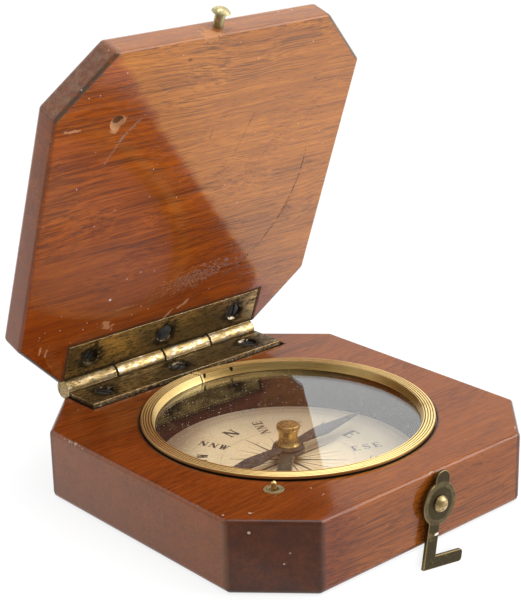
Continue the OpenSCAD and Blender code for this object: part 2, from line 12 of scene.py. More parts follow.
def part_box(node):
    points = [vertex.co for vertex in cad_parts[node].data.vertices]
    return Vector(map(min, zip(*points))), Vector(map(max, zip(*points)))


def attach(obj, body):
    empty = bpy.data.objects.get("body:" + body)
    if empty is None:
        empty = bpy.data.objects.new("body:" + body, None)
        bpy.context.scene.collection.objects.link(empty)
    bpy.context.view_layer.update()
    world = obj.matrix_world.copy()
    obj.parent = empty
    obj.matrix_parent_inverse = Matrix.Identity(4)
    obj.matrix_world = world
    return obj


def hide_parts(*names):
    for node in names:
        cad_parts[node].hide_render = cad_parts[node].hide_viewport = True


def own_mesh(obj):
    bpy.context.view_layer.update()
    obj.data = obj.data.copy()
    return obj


bl_info = {
    "name": "Pocket compass",
    "version": (1, 0, 0),
    "blender": (4, 5, 0),
    "location": "View3D > Sidebar > Compass",
    "description": "Builds the looks of a cased pocket compass on its packed frame",
    "category": "Add Mesh",
}

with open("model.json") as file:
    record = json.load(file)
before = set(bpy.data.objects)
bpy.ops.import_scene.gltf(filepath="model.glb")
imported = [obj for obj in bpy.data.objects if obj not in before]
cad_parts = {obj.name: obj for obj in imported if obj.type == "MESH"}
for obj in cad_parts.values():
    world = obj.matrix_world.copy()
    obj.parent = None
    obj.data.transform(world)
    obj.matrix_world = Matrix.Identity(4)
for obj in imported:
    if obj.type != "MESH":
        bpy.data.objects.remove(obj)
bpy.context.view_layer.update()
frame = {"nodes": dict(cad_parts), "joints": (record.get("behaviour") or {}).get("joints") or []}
JOINTS = {joint["name"]: joint for joint in frame["joints"]}
MM = 0.001
TAU = 2 * math.pi

# Boxes of the CAD nodes give the places of the pieces that are made here
CASE_LOW, CASE_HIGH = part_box("base_case")
GLASS_LOW, GLASS_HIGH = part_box("glass")
CARD_LOW, CARD_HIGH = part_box("dial_card")
BEZEL_LOW, BEZEL_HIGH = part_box("bezel_ring")
BUSH_LOW, BUSH_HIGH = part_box("plunger_bush")
CAP_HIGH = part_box("needle_cap")[1]
NEEDLE_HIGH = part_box("needle")[1]
LEAF_LOW, LEAF_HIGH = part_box("base_hinge_leaf")
BOWL_Y = (GLASS_LOW.y + GLASS_HIGH.y) / 2
PLUNGER_X = (BUSH_LOW.x + BUSH_HIGH.x) / 2
PLUNGER_Y = (BUSH_LOW.y + BUSH_HIGH.y) / 2
HINGE = Vector(JOINTS["lid_hinge"]["pos_m"])
LID_OPEN = -math.radians(JOINTS["lid_hinge"]["range_deg"][0])
SWING_OPEN = Matrix.Translation(HINGE) @ Matrix.Rotation(-LID_OPEN, 4, "X") @ Matrix.Translation(-HINGE)
SWING_SHUT = SWING_OPEN.inverted()

# Face of the hinge leaves, depth of their recess, drop of the ring's flange and room around a leaf
LEAF_FACE = HINGE.z - 0.075 * MM
LEAF_RECESS = 1.4 * MM
RING_DEPTH = 1.1 * MM
PLAY = 0.2 * MM

# How far the cutters reach past the wood
ABOVE_CASE = 20 * MM
BEHIND_CASE = 60 * MM

# Radius of the needle's cap, and the ink's bottom and top on the card
CAP_REACH = 2.6 * MM
INK_LOW = CARD_HIGH.z - 0.01 * MM
INK_HIGH = CARD_HIGH.z + 0.012 * MM

# X and Z of the painted highlight on the hook's shank, in millimetres
SHANK_GLINT = (1.7, 2.75)


def length(name, description, default):
    """Property for a length in metres"""
    return FloatProperty(name=name, description=description, default=default, unit="LENGTH", precision=5)


def tint(name, description, default):
    """Property for a colour"""
    return FloatVectorProperty(
        name=name, description=description, default=default, subtype="COLOR", size=3, min=0, max=1,
    )


class CompassSizes(bpy.types.PropertyGroup):
    """Sizes of the pieces that are made here"""

    corner_cut: length("Corner cut", "Leg of the cut at each upright corner of the case", 12.7 * MM)
    lid_thickness: length("Lid thickness", "Thickness of the lid", 6.4 * MM)
    lid_gap: length("Lid gap", "Gap between the base and the shut lid", 1.0 * MM)
    edge_round: length("Edge round", "Rounding of the upper edges of the wood", 0.95 * MM)
    foot_round: length("Foot round", "Rounding worn into the lower edges of the base", 1.7 * MM)
    bowl_radius: length("Bowl radius", "Radius of the turned bowl", 29 * MM)
    metal_round: length("Metal round", "Rounding of the edges of the metal pieces", 0.1 * MM)
    screw_pitch: length("Screw pitch", "Distance between the screws of a hinge leaf", 21 * MM)
    screw_head: length("Screw head", "Radius of a hinge screw's head", 1.88 * MM)
    degree_count: IntProperty(name="Degree marks", description="Marks around the edge of the dial",
                              default=180, min=36)
    dust_count: IntProperty(name="Dust specks", description="Specks of dust on the glass", default=1500,
                            min=0)
    bead_band: length("Bead band", "Width of the reeded band of the bezel", 2.2 * MM)
    bead_count: IntProperty(name="Beads", description="Beads across the reeded band", default=4, min=1)
    barrel_radius: length("Barrel radius", "Radius of the hinge's barrel", 2.2 * MM)


class CompassColours(bpy.types.PropertyGroup):
    """Colours of the finishes"""

    base_pale: tint("Base, pale grain", "Paler wood of the base", (0.28, 0.060, 0.007))
    base_deep: tint("Base, deep grain", "Darker wood of the base", (0.12, 0.023, 0.004))
    # Painted reflection: the paler wood of the base's front right stands for the sheen of its varnish
    base_painted_sheen: tint("Base, bleached grain", "Wood of the base's faded side", (0.36, 0.100, 0.012))
    lid_pale: tint("Lid, pale grain", "Paler wood of the lid", (0.50, 0.110, 0.004))
    lid_deep: tint("Lid, deep grain", "Darker wood of the lid", (0.15, 0.026, 0.003))
    # Painted reflection on the lid's inner face; its outer face takes a fixed share of this paler wood
    lid_sheen_and_pale_wood: tint("Lid, bleached grain", "Paler wood of the lid's faded side", (0.62, 0.215, 0.020))
    pore: tint("Pores", "Dark pores of the wood", (0.045, 0.011, 0.004))
    bright_brass: tint("Bright brass", "Lacquered brass of the bezel", (0.80, 0.56, 0.22))
    dull_brass: tint("Dull brass", "Aged brass of the hinge and the hook", (0.42, 0.32, 0.15))
    dark_brass: tint("Dark brass", "Dirt and tarnish on the brass", (0.050, 0.036, 0.018))
    needle_steel: tint("Needle steel", "Browned steel of the needle", (0.085, 0.070, 0.066))
    grey_steel: tint("Grey steel", "Dull steel of the screws and the lever", (0.048, 0.060, 0.076))
    paper: tint("Paper", "Aged paper of the dial", (0.94, 0.745, 0.46))
    ink: tint("Ink", "Printing ink of the dial", (0.045, 0.034, 0.027))


def sizes():
    return bpy.context.scene.compass_sizes


def colours():
    return bpy.context.scene.compass_colours


# Meshes

def link_object(name, mesh):
    piece = bpy.data.objects.new(name, mesh)
    bpy.context.scene.collection.objects.link(piece)
    return piece


def object_from(name, bm, recalculate=True):
    if recalculate:
        bmesh.ops.recalc_face_normals(bm, faces=bm.faces)
    mesh = bpy.data.meshes.new(name)
    bm.to_mesh(mesh)
    bm.free()
    return link_object(name, mesh)


def bake_modifiers(piece):
    """Replaces the piece's mesh with the result of its modifiers, and removes them"""
    bpy.context.view_layer.update()
    evaluated = piece.evaluated_get(bpy.context.evaluated_depsgraph_get())
    mesh = bpy.data.meshes.new_from_object(evaluated)
    piece.modifiers.clear()
    piece.data = mesh
    return piece


def carve(piece, *cutters):
    """Cuts each cutter out of the piece and removes it"""
    for cutter in cutters:
        modifier = piece.modifiers.new("carve", "BOOLEAN")
        modifier.operation = "DIFFERENCE"
        modifier.solver = "EXACT"
        modifier.object = cutter
        bake_modifiers(piece)
        bpy.data.objects.remove(cutter)
    return piece


def shade(piece, degrees=35):
    """Smooth shading with sharp edges kept, weighted by face area"""
    piece.data.shade_smooth()
    piece.data.set_sharp_from_angle(angle=math.radians(degrees))
    modifier = piece.modifiers.new("even normals", "WEIGHTED_NORMAL")
    modifier.keep_sharp = True
    return bake_modifiers(piece)


def paint(piece, material):
    piece.data.materials.clear()
    piece.data.materials.append(material)
    return piece


def seat(piece, body, slot, *nodes):
    """The piece rides on a body and stands for CAD nodes, which it hides; slot is not used"""
    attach(piece, body)
    if nodes:
        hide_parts(*nodes)
    return piece


def octagon(half_w, half_d, cut):
    return [
        (half_w, cut - half_d), (half_w, half_d - cut),
        (half_w - cut, half_d), (cut - half_w, half_d),
        (-half_w, half_d - cut), (-half_w, cut - half_d),
        (cut - half_w, -half_d), (half_w - cut, -half_d),
    ]


def add_slab(bm, outline, low, high):
    """Closed prism over a convex outline"""
    bottom = [bm.verts.new((x, y, low)) for x, y in outline]
    top = [bm.verts.new((x, y, high)) for x, y in outline]
    count = len(outline)
    faces = [bm.faces.new(bottom[::-1]), bm.faces.new(top)]
    for i in range(count):
        j = (i + 1) % count
        faces.append(bm.faces.new((bottom[i], bottom[j], top[j], top[i])))
    return faces


def add_lathe(bm, profile, steps, centre=(0.0, 0.0), start=0.0, sweep=TAU):
    """Turns a closed profile of (radius, height) about an upright axis"""
    whole = abs(sweep - TAU) < 1e-9
    rings = []
    for k in range(steps if whole else steps + 1):
        angle = start + sweep * k / steps
        ring = [
            bm.verts.new((centre[0] + r * math.cos(angle), centre[1] + r * math.sin(angle), z))
            for r, z in profile
        ]
        rings.append(ring)
    count = len(profile)
    for k in range(steps):
        here, there = rings[k], rings[(k + 1) % len(rings)]
        for i in range(count):
            j = (i + 1) % count
            bm.faces.new((here[i], there[i], there[j], here[j]))
    if not whole:
        bm.faces.new(rings[0][::-1])
        bm.faces.new(rings[-1])
    bmesh.ops.remove_doubles(bm, verts=bm.verts, dist=1e-8)
    bmesh.ops.dissolve_degenerate(bm, dist=1e-8, edges=bm.edges)


def turned(name, profile, steps=96, centre=(0.0, 0.0)):
    bm = bmesh.new()
    add_lathe(bm, profile, steps, centre)
    return object_from(name, bm)


def arc_points(centre_r, centre_z, radius, first, last, steps):
    """Points of an arc in a profile, angles in degrees from the radial direction"""
    points = []
    for k in range(steps + 1):
        angle = math.radians(first + (last - first) * k / steps)
        points.append((centre_r + radius * math.cos(angle), centre_z + radius * math.sin(angle)))
    return points


def box_object(name, low, high):
    bm = bmesh.new()
    outline = [(low[0], low[1]), (high[0], low[1]), (high[0], high[1]), (low[0], high[1])]
    add_slab(bm, outline, low[2], high[2])
    return object_from(name, bm)


def edges_where(bm, test):
    return [edge for edge in bm.edges if test(edge.verts[0].co, edge.verts[1].co)]


def round_edges(bm, edges, width, steps=3):
    bmesh.ops.bevel(
        bm, geom=edges, offset=width, offset_type="OFFSET", segments=steps,
        profile=0.5, affect="EDGES", clamp_overlap=True,
    )


def octagon_block(name, low, high, cut, top_round, bottom_round):
    """Octagonal block with rounded edges"""
    half_w = CASE_HIGH.x
    half_d = CASE_HIGH.y
    bm = bmesh.new()
    add_slab(bm, octagon(half_w, half_d, cut), low, high)
    round_edges(bm, edges_where(bm, lambda a, b: abs(a.z - b.z) > MM), 0.5 * MM)
    near_top = high - 0.01 * MM
    near_bottom = low + 0.01 * MM
    round_edges(bm, edges_where(bm, lambda a, b: a.z > near_top and b.z > near_top), top_round)
    round_edges(bm, edges_where(bm, lambda a, b: a.z < near_bottom and b.z < near_bottom), bottom_round)
    return object_from(name, bm)


def softened(node, name, width, angle=30):
    """Copy of a CAD node with its sharp edges rounded; the corners of the rounding carry edge = 1"""
    bm = bmesh.new()
    bm.from_mesh(frame["nodes"][node].data)
    bmesh.ops.remove_doubles(bm, verts=bm.verts, dist=1e-6)
    bmesh.ops.dissolve_limit(bm, angle_limit=math.radians(0.4), verts=bm.verts, edges=bm.edges)
    limit = math.radians(angle)
    sharp = [e for e in bm.edges if len(e.link_faces) == 2 and e.calc_face_angle(0) > limit]
    layer = bm.loops.layers.float.new("edge")
    made = bmesh.ops.bevel(
        bm, geom=sharp, offset=width, offset_type="OFFSET", segments=2,
        profile=0.5, affect="EDGES", clamp_overlap=True,
    )
    for face in made["faces"]:
        for loop in face.loops:
            loop[layer] = 1.0
    piece = object_from(name, bm, recalculate=False)
    return shade(piece, 40)


# Geometry node trees

def start_tree(name, inputs):
    """A tree with named inputs, each given as (label, socket type, default)"""
    tree = bpy.data.node_groups.new(name, "GeometryNodeTree")
    tree.interface.new_socket(name="Geometry", in_out="OUTPUT", socket_type="NodeSocketGeometry")
    for label, kind, default in inputs + [("Material", "NodeSocketMaterial", None)]:
        socket = tree.interface.new_socket(name=label, in_out="INPUT", socket_type=kind)
        if default is not None:
            socket.default_value = default
    return tree, put(tree, "NodeGroupInput").outputs


def end_tree(given, geometry):
    """Makes the copies real, gives them the material and returns the finished tree"""
    tree = geometry.id_data
    realize = put(tree, "GeometryNodeRealizeInstances")
    coat = put(tree, "GeometryNodeSetMaterial")
    output = put(tree, "NodeGroupOutput")
    fill(realize.inputs, Geometry=geometry)
    fill(coat.inputs, Geometry=realize.outputs["Geometry"], Material=given["Material"])
    fill(output.inputs, Geometry=coat.outputs["Geometry"])
    return tree


def grow(name, tree, **values):
    """Makes a plain mesh from a tree; underscores in the names of values stand for spaces"""
    piece = link_object(name, bpy.data.meshes.new(name))
    modifier = piece.modifiers.new(name, "NODES")
    modifier.node_group = tree
    labels = {item.name: item.identifier for item in tree.interface.items_tree if item.in_out == "INPUT"}
    for label, value in values.items():
        modifier[labels[label.replace("_", " ")]] = value
    return bake_modifiers(piece)


def put(tree, kind, **settings):
    node = tree.nodes.new(kind)
    for key, value in settings.items():
        setattr(node, key, value)
    return node


def feed(socket, value):
    """Links a socket to another one, or gives it a value; colours may come without their alpha"""
    if isinstance(value, bpy.types.NodeSocket):
        socket.id_data.links.new(value, socket)
    elif value is not None:
        if socket.type == "RGBA" and len(value) == 3:
            value = (*value, 1.0)
        socket.default_value = value


def fill(sockets, **values):
    """Feeds sockets by their labels; underscores in the names of values stand for spaces"""
    for label, value in values.items():
        feed(sockets[label.replace("_", " ")], value)


def tree_of(*values):
    """Tree of the first value that comes from a node"""
    return next(value.id_data for value in values if isinstance(value, bpy.types.NodeSocket))


def maths(operation, *values, clamp=False):
    node = put(tree_of(*values), "ShaderNodeMath", operation=operation, use_clamp=clamp)
    for socket, value in zip(node.inputs, values):
        feed(socket, value)
    return node.outputs[0]


def times(a, b, clamp=False):
    return maths("MULTIPLY", a, b, clamp=clamp)


def times_plus(a, b, c, clamp=False):
    """a times b, plus c"""
    return maths("MULTIPLY_ADD", a, b, c, clamp=clamp)


def plus(a, b):
    return maths("ADD", a, b)


def minus(a, b, clamp=False):
    return maths("SUBTRACT", a, b, clamp=clamp)


def over(a, b):
    return maths("DIVIDE", a, b)


def most(a, b):
    return maths("MAXIMUM", a, b)


def least(a, b):
    return maths("MINIMUM", a, b)


def vector_maths(operation, a, b=None):
    node = put(tree_of(a), "ShaderNodeVectorMath", operation=operation)
    feed(node.inputs[0], a)
    feed(node.inputs[1], b)
    return node.outputs["Value" if operation in ("LENGTH", "DOT_PRODUCT") else "Vector"]


def length_of(vector):
    return vector_maths("LENGTH", vector)


def scaled(vector, factors):
    return vector_maths("MULTIPLY", vector, factors)


def combine(x, y, z):
    node = put(tree_of(x, y, z), "ShaderNodeCombineXYZ")
    for socket, value in zip(node.inputs, (x, y, z)):
        feed(socket, value)
    return node.outputs[0]


def axes(vector):
    """The X, Y and Z of a vector"""
    node = put(tree_of(vector), "ShaderNodeSeparateXYZ")
    feed(node.inputs[0], vector)
    return node.outputs


def chance(tree, low, high, seed):
    """A random number for each copy"""
    node = put(tree, "FunctionNodeRandomValue", data_type="FLOAT")
    floats = [socket for socket in node.inputs if socket.type == "VALUE"]
    for socket, value in zip(floats, (low, high)):
        feed(socket, value)
    fill(node.inputs, Seed=seed)
    return next(socket for socket in node.outputs if socket.type == "VALUE")


def points_at(tree, count, position):
    points = put(tree, "GeometryNodePoints")
    fill(points.inputs, Count=count, Position=position)
    return points.outputs[0]


def place_on_circle(angle, radius, centre):
    """Place at an angle and a radius about a centre, in the plan"""
    spot = combine(times(maths("COSINE", angle), radius), times(maths("SINE", angle), radius), 0.0)
    return vector_maths("ADD", spot, centre)


def copies_on(tree, points, shape, **more):
    """Copies of a shape on points, which more may turn and scale"""
    copies = put(tree, "GeometryNodeInstanceOnPoints")
    fill(copies.inputs, Points=points, Instance=shape, **more)
    return copies.outputs["Instances"]


def screw_row_tree():
    """Copies of one screw along a row, each turned its own way"""
    tree, given = start_tree("screw_row", [
        ("Screw", "NodeSocketObject", None),
        ("Count", "NodeSocketInt", 3),
        ("Pitch", "NodeSocketFloat", 0.02),
        ("First", "NodeSocketVector", (0.0, 0.0, 0.0)),
        ("Seed", "NodeSocketInt", 1),
    ])
    row = put(tree, "GeometryNodeMeshLine", mode="OFFSET")
    fill(row.inputs, Count=given["Count"], Start_Location=given["First"],
         Offset=combine(given["Pitch"], 0.0, 0.0))
    screw = put(tree, "GeometryNodeObjectInfo")
    fill(screw.inputs, Object=given["Screw"])
    angle = chance(tree, 0.2, 2.9, given["Seed"])
    screws = copies_on(tree, row.outputs["Mesh"], screw.outputs["Geometry"],
                       Rotation=combine(0.0, 0.0, angle))
    return end_tree(given, screws)


def degree_ring_tree():
    """Marks around a circle with their outer ends in line, every tenth long and every fifth half long"""
    tree, given = start_tree("degree_ring", [
        ("Count", "NodeSocketInt", 180),
        ("Radius", "NodeSocketFloat", 0.028),
        ("Length", "NodeSocketFloat", 0.001),
        ("Longer", "NodeSocketFloat", 0.001),
        ("Width", "NodeSocketFloat", 0.00012),
        ("Depth", "NodeSocketFloat", 0.00002),
        ("Centre", "NodeSocketVector", (0.0, 0.0, 0.0)),
    ])
    index = put(tree, "GeometryNodeInputIndex").outputs[0]
    tenth = maths("LESS_THAN", maths("MODULO", index, 10.0), 0.5)
    fifth = maths("LESS_THAN", maths("MODULO", index, 5.0), 0.5)
    length = times_plus(times(plus(tenth, fifth), 0.5), given["Longer"], given["Length"])
    angle = over(times(index, TAU), given["Count"])
    middle = minus(given["Radius"], times(length, 0.5))
    points = points_at(tree, given["Count"], place_on_circle(angle, middle, given["Centre"]))
    mark = put(tree, "GeometryNodeMeshCube")
    fill(mark.inputs, Size=(1.0, 1.0, 1.0))
    marks = copies_on(tree, points, mark.outputs["Mesh"], Rotation=combine(0.0, 0.0, angle),
                      Scale=combine(length, given["Width"], given["Depth"]))
    return end_tree(given, marks)


def star_tree():
    """Copies of one ray around a centre"""
    tree, given = start_tree("dial_star", [
        ("Ray", "NodeSocketObject", None),
        ("Count", "NodeSocketInt", 8),
        ("Turn", "NodeSocketFloat", 0.0),
        ("Centre", "NodeSocketVector", (0.0, 0.0, 0.0)),
    ])
    index = put(tree, "GeometryNodeInputIndex").outputs[0]
    angle = plus(over(times(index, TAU), given["Count"]), given["Turn"])
    points = points_at(tree, given["Count"], given["Centre"])
    ray = put(tree, "GeometryNodeObjectInfo")
    fill(ray.inputs, Object=given["Ray"])
    rays = copies_on(tree, points, ray.outputs["Geometry"], Rotation=combine(0.0, 0.0, angle))
    return end_tree(given, rays)


def knurl_tree():
    """Upright ribs around a rim"""
    tree, given = start_tree("knurl", [
        ("Count", "NodeSocketInt", 40),
        ("Radius", "NodeSocketFloat", 0.0025),
        ("Rib", "NodeSocketFloat", 0.00012),
        ("Height", "NodeSocketFloat", 0.0006),
        ("Centre", "NodeSocketVector", (0.0, 0.0, 0.0)),
    ])
    index = put(tree, "GeometryNodeInputIndex").outputs[0]
    angle = over(times(index, TAU), given["Count"])
    points = points_at(tree, given["Count"], place_on_circle(angle, given["Radius"], given["Centre"]))
    rib = put(tree, "GeometryNodeMeshCylinder", fill_type="NGON")
    fill(rib.inputs, Vertices=8, Radius=given["Rib"], Depth=given["Height"])
    return end_tree(given, copies_on(tree, points, rib.outputs["Mesh"]))


def dust_tree():
    """Specks scattered over a disc"""
    tree, given = start_tree("dust_specks", [
        ("Count", "NodeSocketInt", 80),
        ("Radius", "NodeSocketFloat", 0.029),
        ("Speck", "NodeSocketFloat", 0.0001),
        ("Centre", "NodeSocketVector", (0.0, 0.0, 0.0)),
        ("Seed", "NodeSocketInt", 3),
    ])
    disc = put(tree, "GeometryNodeMeshCircle", fill_type="NGON")
    fill(disc.inputs, Vertices=64, Radius=given["Radius"])
    area = times(maths("POWER", given["Radius"], 2.0), math.pi)
    points = put(tree, "GeometryNodeDistributePointsOnFaces", distribute_method="RANDOM")
    fill(points.inputs, Mesh=disc.outputs["Mesh"], Density=over(given["Count"], area), Seed=given["Seed"])
    size = chance(tree, 0.25, 1.0, given["Seed"])
    scale = times(maths("POWER", size, 3.0), given["Speck"])
    speck = put(tree, "GeometryNodeMeshIcoSphere")
    fill(speck.inputs, Radius=1.0, Subdivisions=1)
    specks = copies_on(tree, points.outputs["Points"], speck.outputs["Mesh"],
                       Scale=combine(scale, scale, times(scale, 0.3)))
    move = put(tree, "GeometryNodeTransform")
    fill(move.inputs, Geometry=specks, Translation=given["Centre"])
    return end_tree(given, move.outputs["Geometry"])


# Shader parts

def blend(factor, a, b):
    """Colour between a and b"""
    node = put(tree_of(factor, a, b), "ShaderNodeMix", data_type="RGBA", blend_type="MIX",
               clamp_factor=True)
    feed(node.inputs[0], factor)
    for socket, value in zip([socket for socket in node.inputs if socket.type == "RGBA"], (a, b)):
        feed(socket, value)
    return [socket for socket in node.outputs if socket.type == "RGBA"][0]


def ease(value, low, high, to_low=0.0, to_high=1.0):
    """Smooth step of a value from low to high"""
    node = put(tree_of(value), "ShaderNodeMapRange", interpolation_type="SMOOTHSTEP")
    for socket, given in zip(node.inputs, (value, low, high, to_low, to_high)):
        feed(socket, given)
    return node.outputs[0]


def cloud(vector, scale, detail=2.0, roughness=0.5):
    """Soft noise"""
    node = put(tree_of(vector), "ShaderNodeTexNoise")
    fill(node.inputs, Vector=vector, Scale=scale, Detail=detail, Roughness=roughness, Distortion=0.0)
    return node.outputs["Fac"]


def cells(vector, scale):
    """Distance from scattered points"""
    node = put(tree_of(vector), "ShaderNodeTexVoronoi", feature="F1")
    fill(node.inputs, Vector=vector, Scale=scale, Randomness=1.0)
    return node.outputs["Distance"]


def start_group(name, inputs, outputs):
    """The ends of a new shader node group; inputs are (label, kind, default), outputs (label, kind)"""
    kinds = {"value": "NodeSocketFloat", "vector": "NodeSocketVector", "colour": "NodeSocketColor"}
    tree = bpy.data.node_groups.new(name, "ShaderNodeTree")
    for label, kind, default in inputs:
        socket = tree.interface.new_socket(name=label, in_out="INPUT", socket_type=kinds[kind])
        if default is not None:
            socket.default_value = default
    for label, kind in outputs:
        tree.interface.new_socket(name=label, in_out="OUTPUT", socket_type=kinds[kind])
    return put(tree, "NodeGroupInput").outputs, put(tree, "NodeGroupOutput").inputs


def use(group, **values):
    """Places a group beside the nodes that feed it"""
    node = put(tree_of(*values.values()), "ShaderNodeGroup", node_tree=bpy.data.node_groups[group])
    fill(node.inputs, **values)
    return node.outputs


def make_wood_group():
    """Mahogany with its grain along X: bands, streaks, fibres and long pores; lengths in millimetres"""
    given, out = start_group(
        "mahogany_grain",
        [("Vector", "vector", None), ("Pale", "colour", (0.3, 0.07, 0.02, 1)),
         ("Deep", "colour", (0.15, 0.03, 0.01, 1)), ("Pore", "colour", (0.04, 0.01, 0.005, 1)),
         ("Bleached", "colour", (0.4, 0.15, 0.05, 1)), ("Fade", "value", 0.0), ("Pores", "value", 1.0)],
        [("Color", "colour"), ("Height", "value")],
    )
    place = given["Vector"]
    wander = cloud(scaled(place, (0.018, 0.05, 0.05)), 1.0, 2.0)
    drift = times_plus(wander, 9.0, -4.5)
    bent = vector_maths("ADD", place, combine(0.0, drift, drift))
    bands = cloud(scaled(bent, (0.012, 0.20, 0.26)), 1.0, 3.0, 0.6)
    streaks = cloud(scaled(bent, (0.022, 1.25, 1.4)), 1.0, 4.0, 0.7)
    fibres = cloud(scaled(bent, (0.07, 4.2, 4.2)), 1.0, 3.0, 0.7)
    patches = cloud(scaled(place, (0.05, 0.05, 0.07)), 1.0, 3.0)
    tone = times(ease(bands, 0.38, 0.62), 0.24)
    tone = times_plus(ease(streaks, 0.38, 0.62), 0.40, tone)
    tone = times_plus(ease(fibres, 0.36, 0.64), 0.36, tone)
    # Sheen is paler wood painted in for a reflection of the bright surroundings, mixed in by the share
    # Gleam
    pale = blend(given["Fade"], given["Pale"], given["Bleached"])
    deep = blend(times(given["Fade"], 0.34), given["Deep"], given["Bleached"])
    colour = blend(tone, deep, pale)
    colour = blend(ease(patches, 0.35, 0.75, 0.0, 0.35), colour, deep)
    crowd = cloud(scaled(bent, (0.02, 0.16, 0.16)), 1.0, 2.0)
    limit = ease(crowd, 0.35, 0.65, 0.60, 0.48)
    lines = cloud(scaled(bent, (0.032, 2.9, 2.9)), 1.0, 2.0, 0.6)
    pores = ease(lines, limit, plus(limit, 0.13), 0.0, 0.85)
    fine = cloud(scaled(bent, (0.26, 5.2, 5.2)), 1.0, 1.0)
    fine = ease(fine, 0.58, 0.68, 0.0, 0.6)
    pores = times(most(pores, fine), given["Pores"], clamp=True)
    colour = blend(times(pores, 0.70), colour, given["Pore"])
    fill(out, Color=colour)
    height = times_plus(fibres, 0.35, times(pores, -1.0))
    fill(out, Height=height)


def make_edge_group():
    """Distance in millimetres from the nearest edge of an octagonal slab"""
    given, out = start_group(
        "octagon_edge",
        [("Vector", "vector", None), ("Half Width", "value", 40.0), ("Half Depth", "value", 40.0),
         ("Cut", "value", 12.0), ("Low", "value", 0.0), ("High", "value", 15.0)],
        [("Distance", "value"), ("Pillar", "value"), ("Corner Face", "value")],
    )
    aside_x, aside_y, _ = axes(vector_maths("ABSOLUTE", given["Vector"]))
    height = axes(given["Vector"])[2]
    across = minus(aside_x, given["Half Width"])
    along = minus(aside_y, given["Half Depth"])
    halves = plus(given["Half Width"], given["Half Depth"])
    reach = minus(halves, given["Cut"])
    total = minus(plus(aside_x, aside_y), reach)
    corner = times(total, math.sqrt(0.5))
    side = most(most(across, along), corner)
    lowest = least(least(across, along), corner)
    summed = plus(plus(across, along), corner)
    pillars = minus(lowest, summed)
    above = minus(height, given["High"])
    below = minus(given["Low"], height)
    rim = times(plus(side, most(above, below)), -1.0)
    fill(out, Pillar=pillars, Distance=least(rim, times(pillars, 2.5)),
         Corner_Face=ease(corner, -0.9, -0.5))


def make_rub_group():
    """Broken band of wear that fades with the distance from an edge"""
    given, out = start_group(
        "edge_rub",
        [("Vector", "vector", None), ("Distance", "value", 1.0), ("Reach", "value", 0.6),
         ("Amount", "value", 0.6)],
        [("Mask", "value")],
    )
    near = ease(over(given["Distance"], given["Reach"]), 1.0, 0.25)
    coarse = cloud(given["Vector"], 0.35, 3.0, 0.7)
    fine = cloud(given["Vector"], 2.6, 2.0, 0.6)
    broken = times_plus(fine, 0.4, times(coarse, 0.6))
    rough = ease(broken, 0.40, 0.62)
    mask = times(times(near, rough), given["Amount"], clamp=True)
    fill(out, Mask=mask)


def make_spot_group():
    """Soft-edged ellipsoid about a centre, turned about Z; what Fray adds to its reach makes it ragged"""
    given, out = start_group(
        "worn_spot",
        [("Vector", "vector", None), ("Centre", "vector", None), ("Radii", "vector", (1.0, 1.0, 1.0)),
         ("Turn", "value", 0.0), ("Fray", "value", 0.0)],
        [("Mask", "value")],
    )
    turn = put(tree_of(given["Vector"]), "ShaderNodeVectorRotate", rotation_type="Z_AXIS")
    fill(turn.inputs, Vector=vector_maths("SUBTRACT", given["Vector"], given["Centre"]),
         Angle=times(given["Turn"], -1.0))
    reach = length_of(vector_maths("DIVIDE", turn.outputs[0], given["Radii"]))
    fill(out, Mask=ease(plus(reach, given["Fray"]), 1.0, 0.7))


def make_arc_group():
    """Scratch along an arc: circle about a centre, kept to one side by a direction and its spread"""
    given, out = start_group(
        "rubbed_arc",
        [("Vector", "vector", None), ("Centre", "vector", None), ("Radius", "value", 30.0),
         ("Width", "value", 0.2), ("Direction", "vector", (1.0, 0.0, 0.0)), ("Spread", "value", 0.9)],
        [("Mask", "value")],
    )
    away = scaled(vector_maths("SUBTRACT", given["Vector"], given["Centre"]), (1.0, 1.0, 0.0))
    wobble = times_plus(cloud(given["Vector"], 0.12, 1.0), 1.6, -0.8)
    reach = plus(length_of(away), wobble)
    line = maths("ABSOLUTE", minus(reach, given["Radius"]))
    thin = ease(over(line, given["Width"]), 1.0, 0.4)
    toward = vector_maths("DOT_PRODUCT", vector_maths("NORMALIZE", away), given["Direction"])
    ends = ease(toward, given["Spread"], plus(given["Spread"], 0.06))
    patchy = ease(cloud(given["Vector"], 0.8, 3.0, 0.7), 0.36, 0.60)
    fill(out, Mask=times(times(thin, ends), patchy))


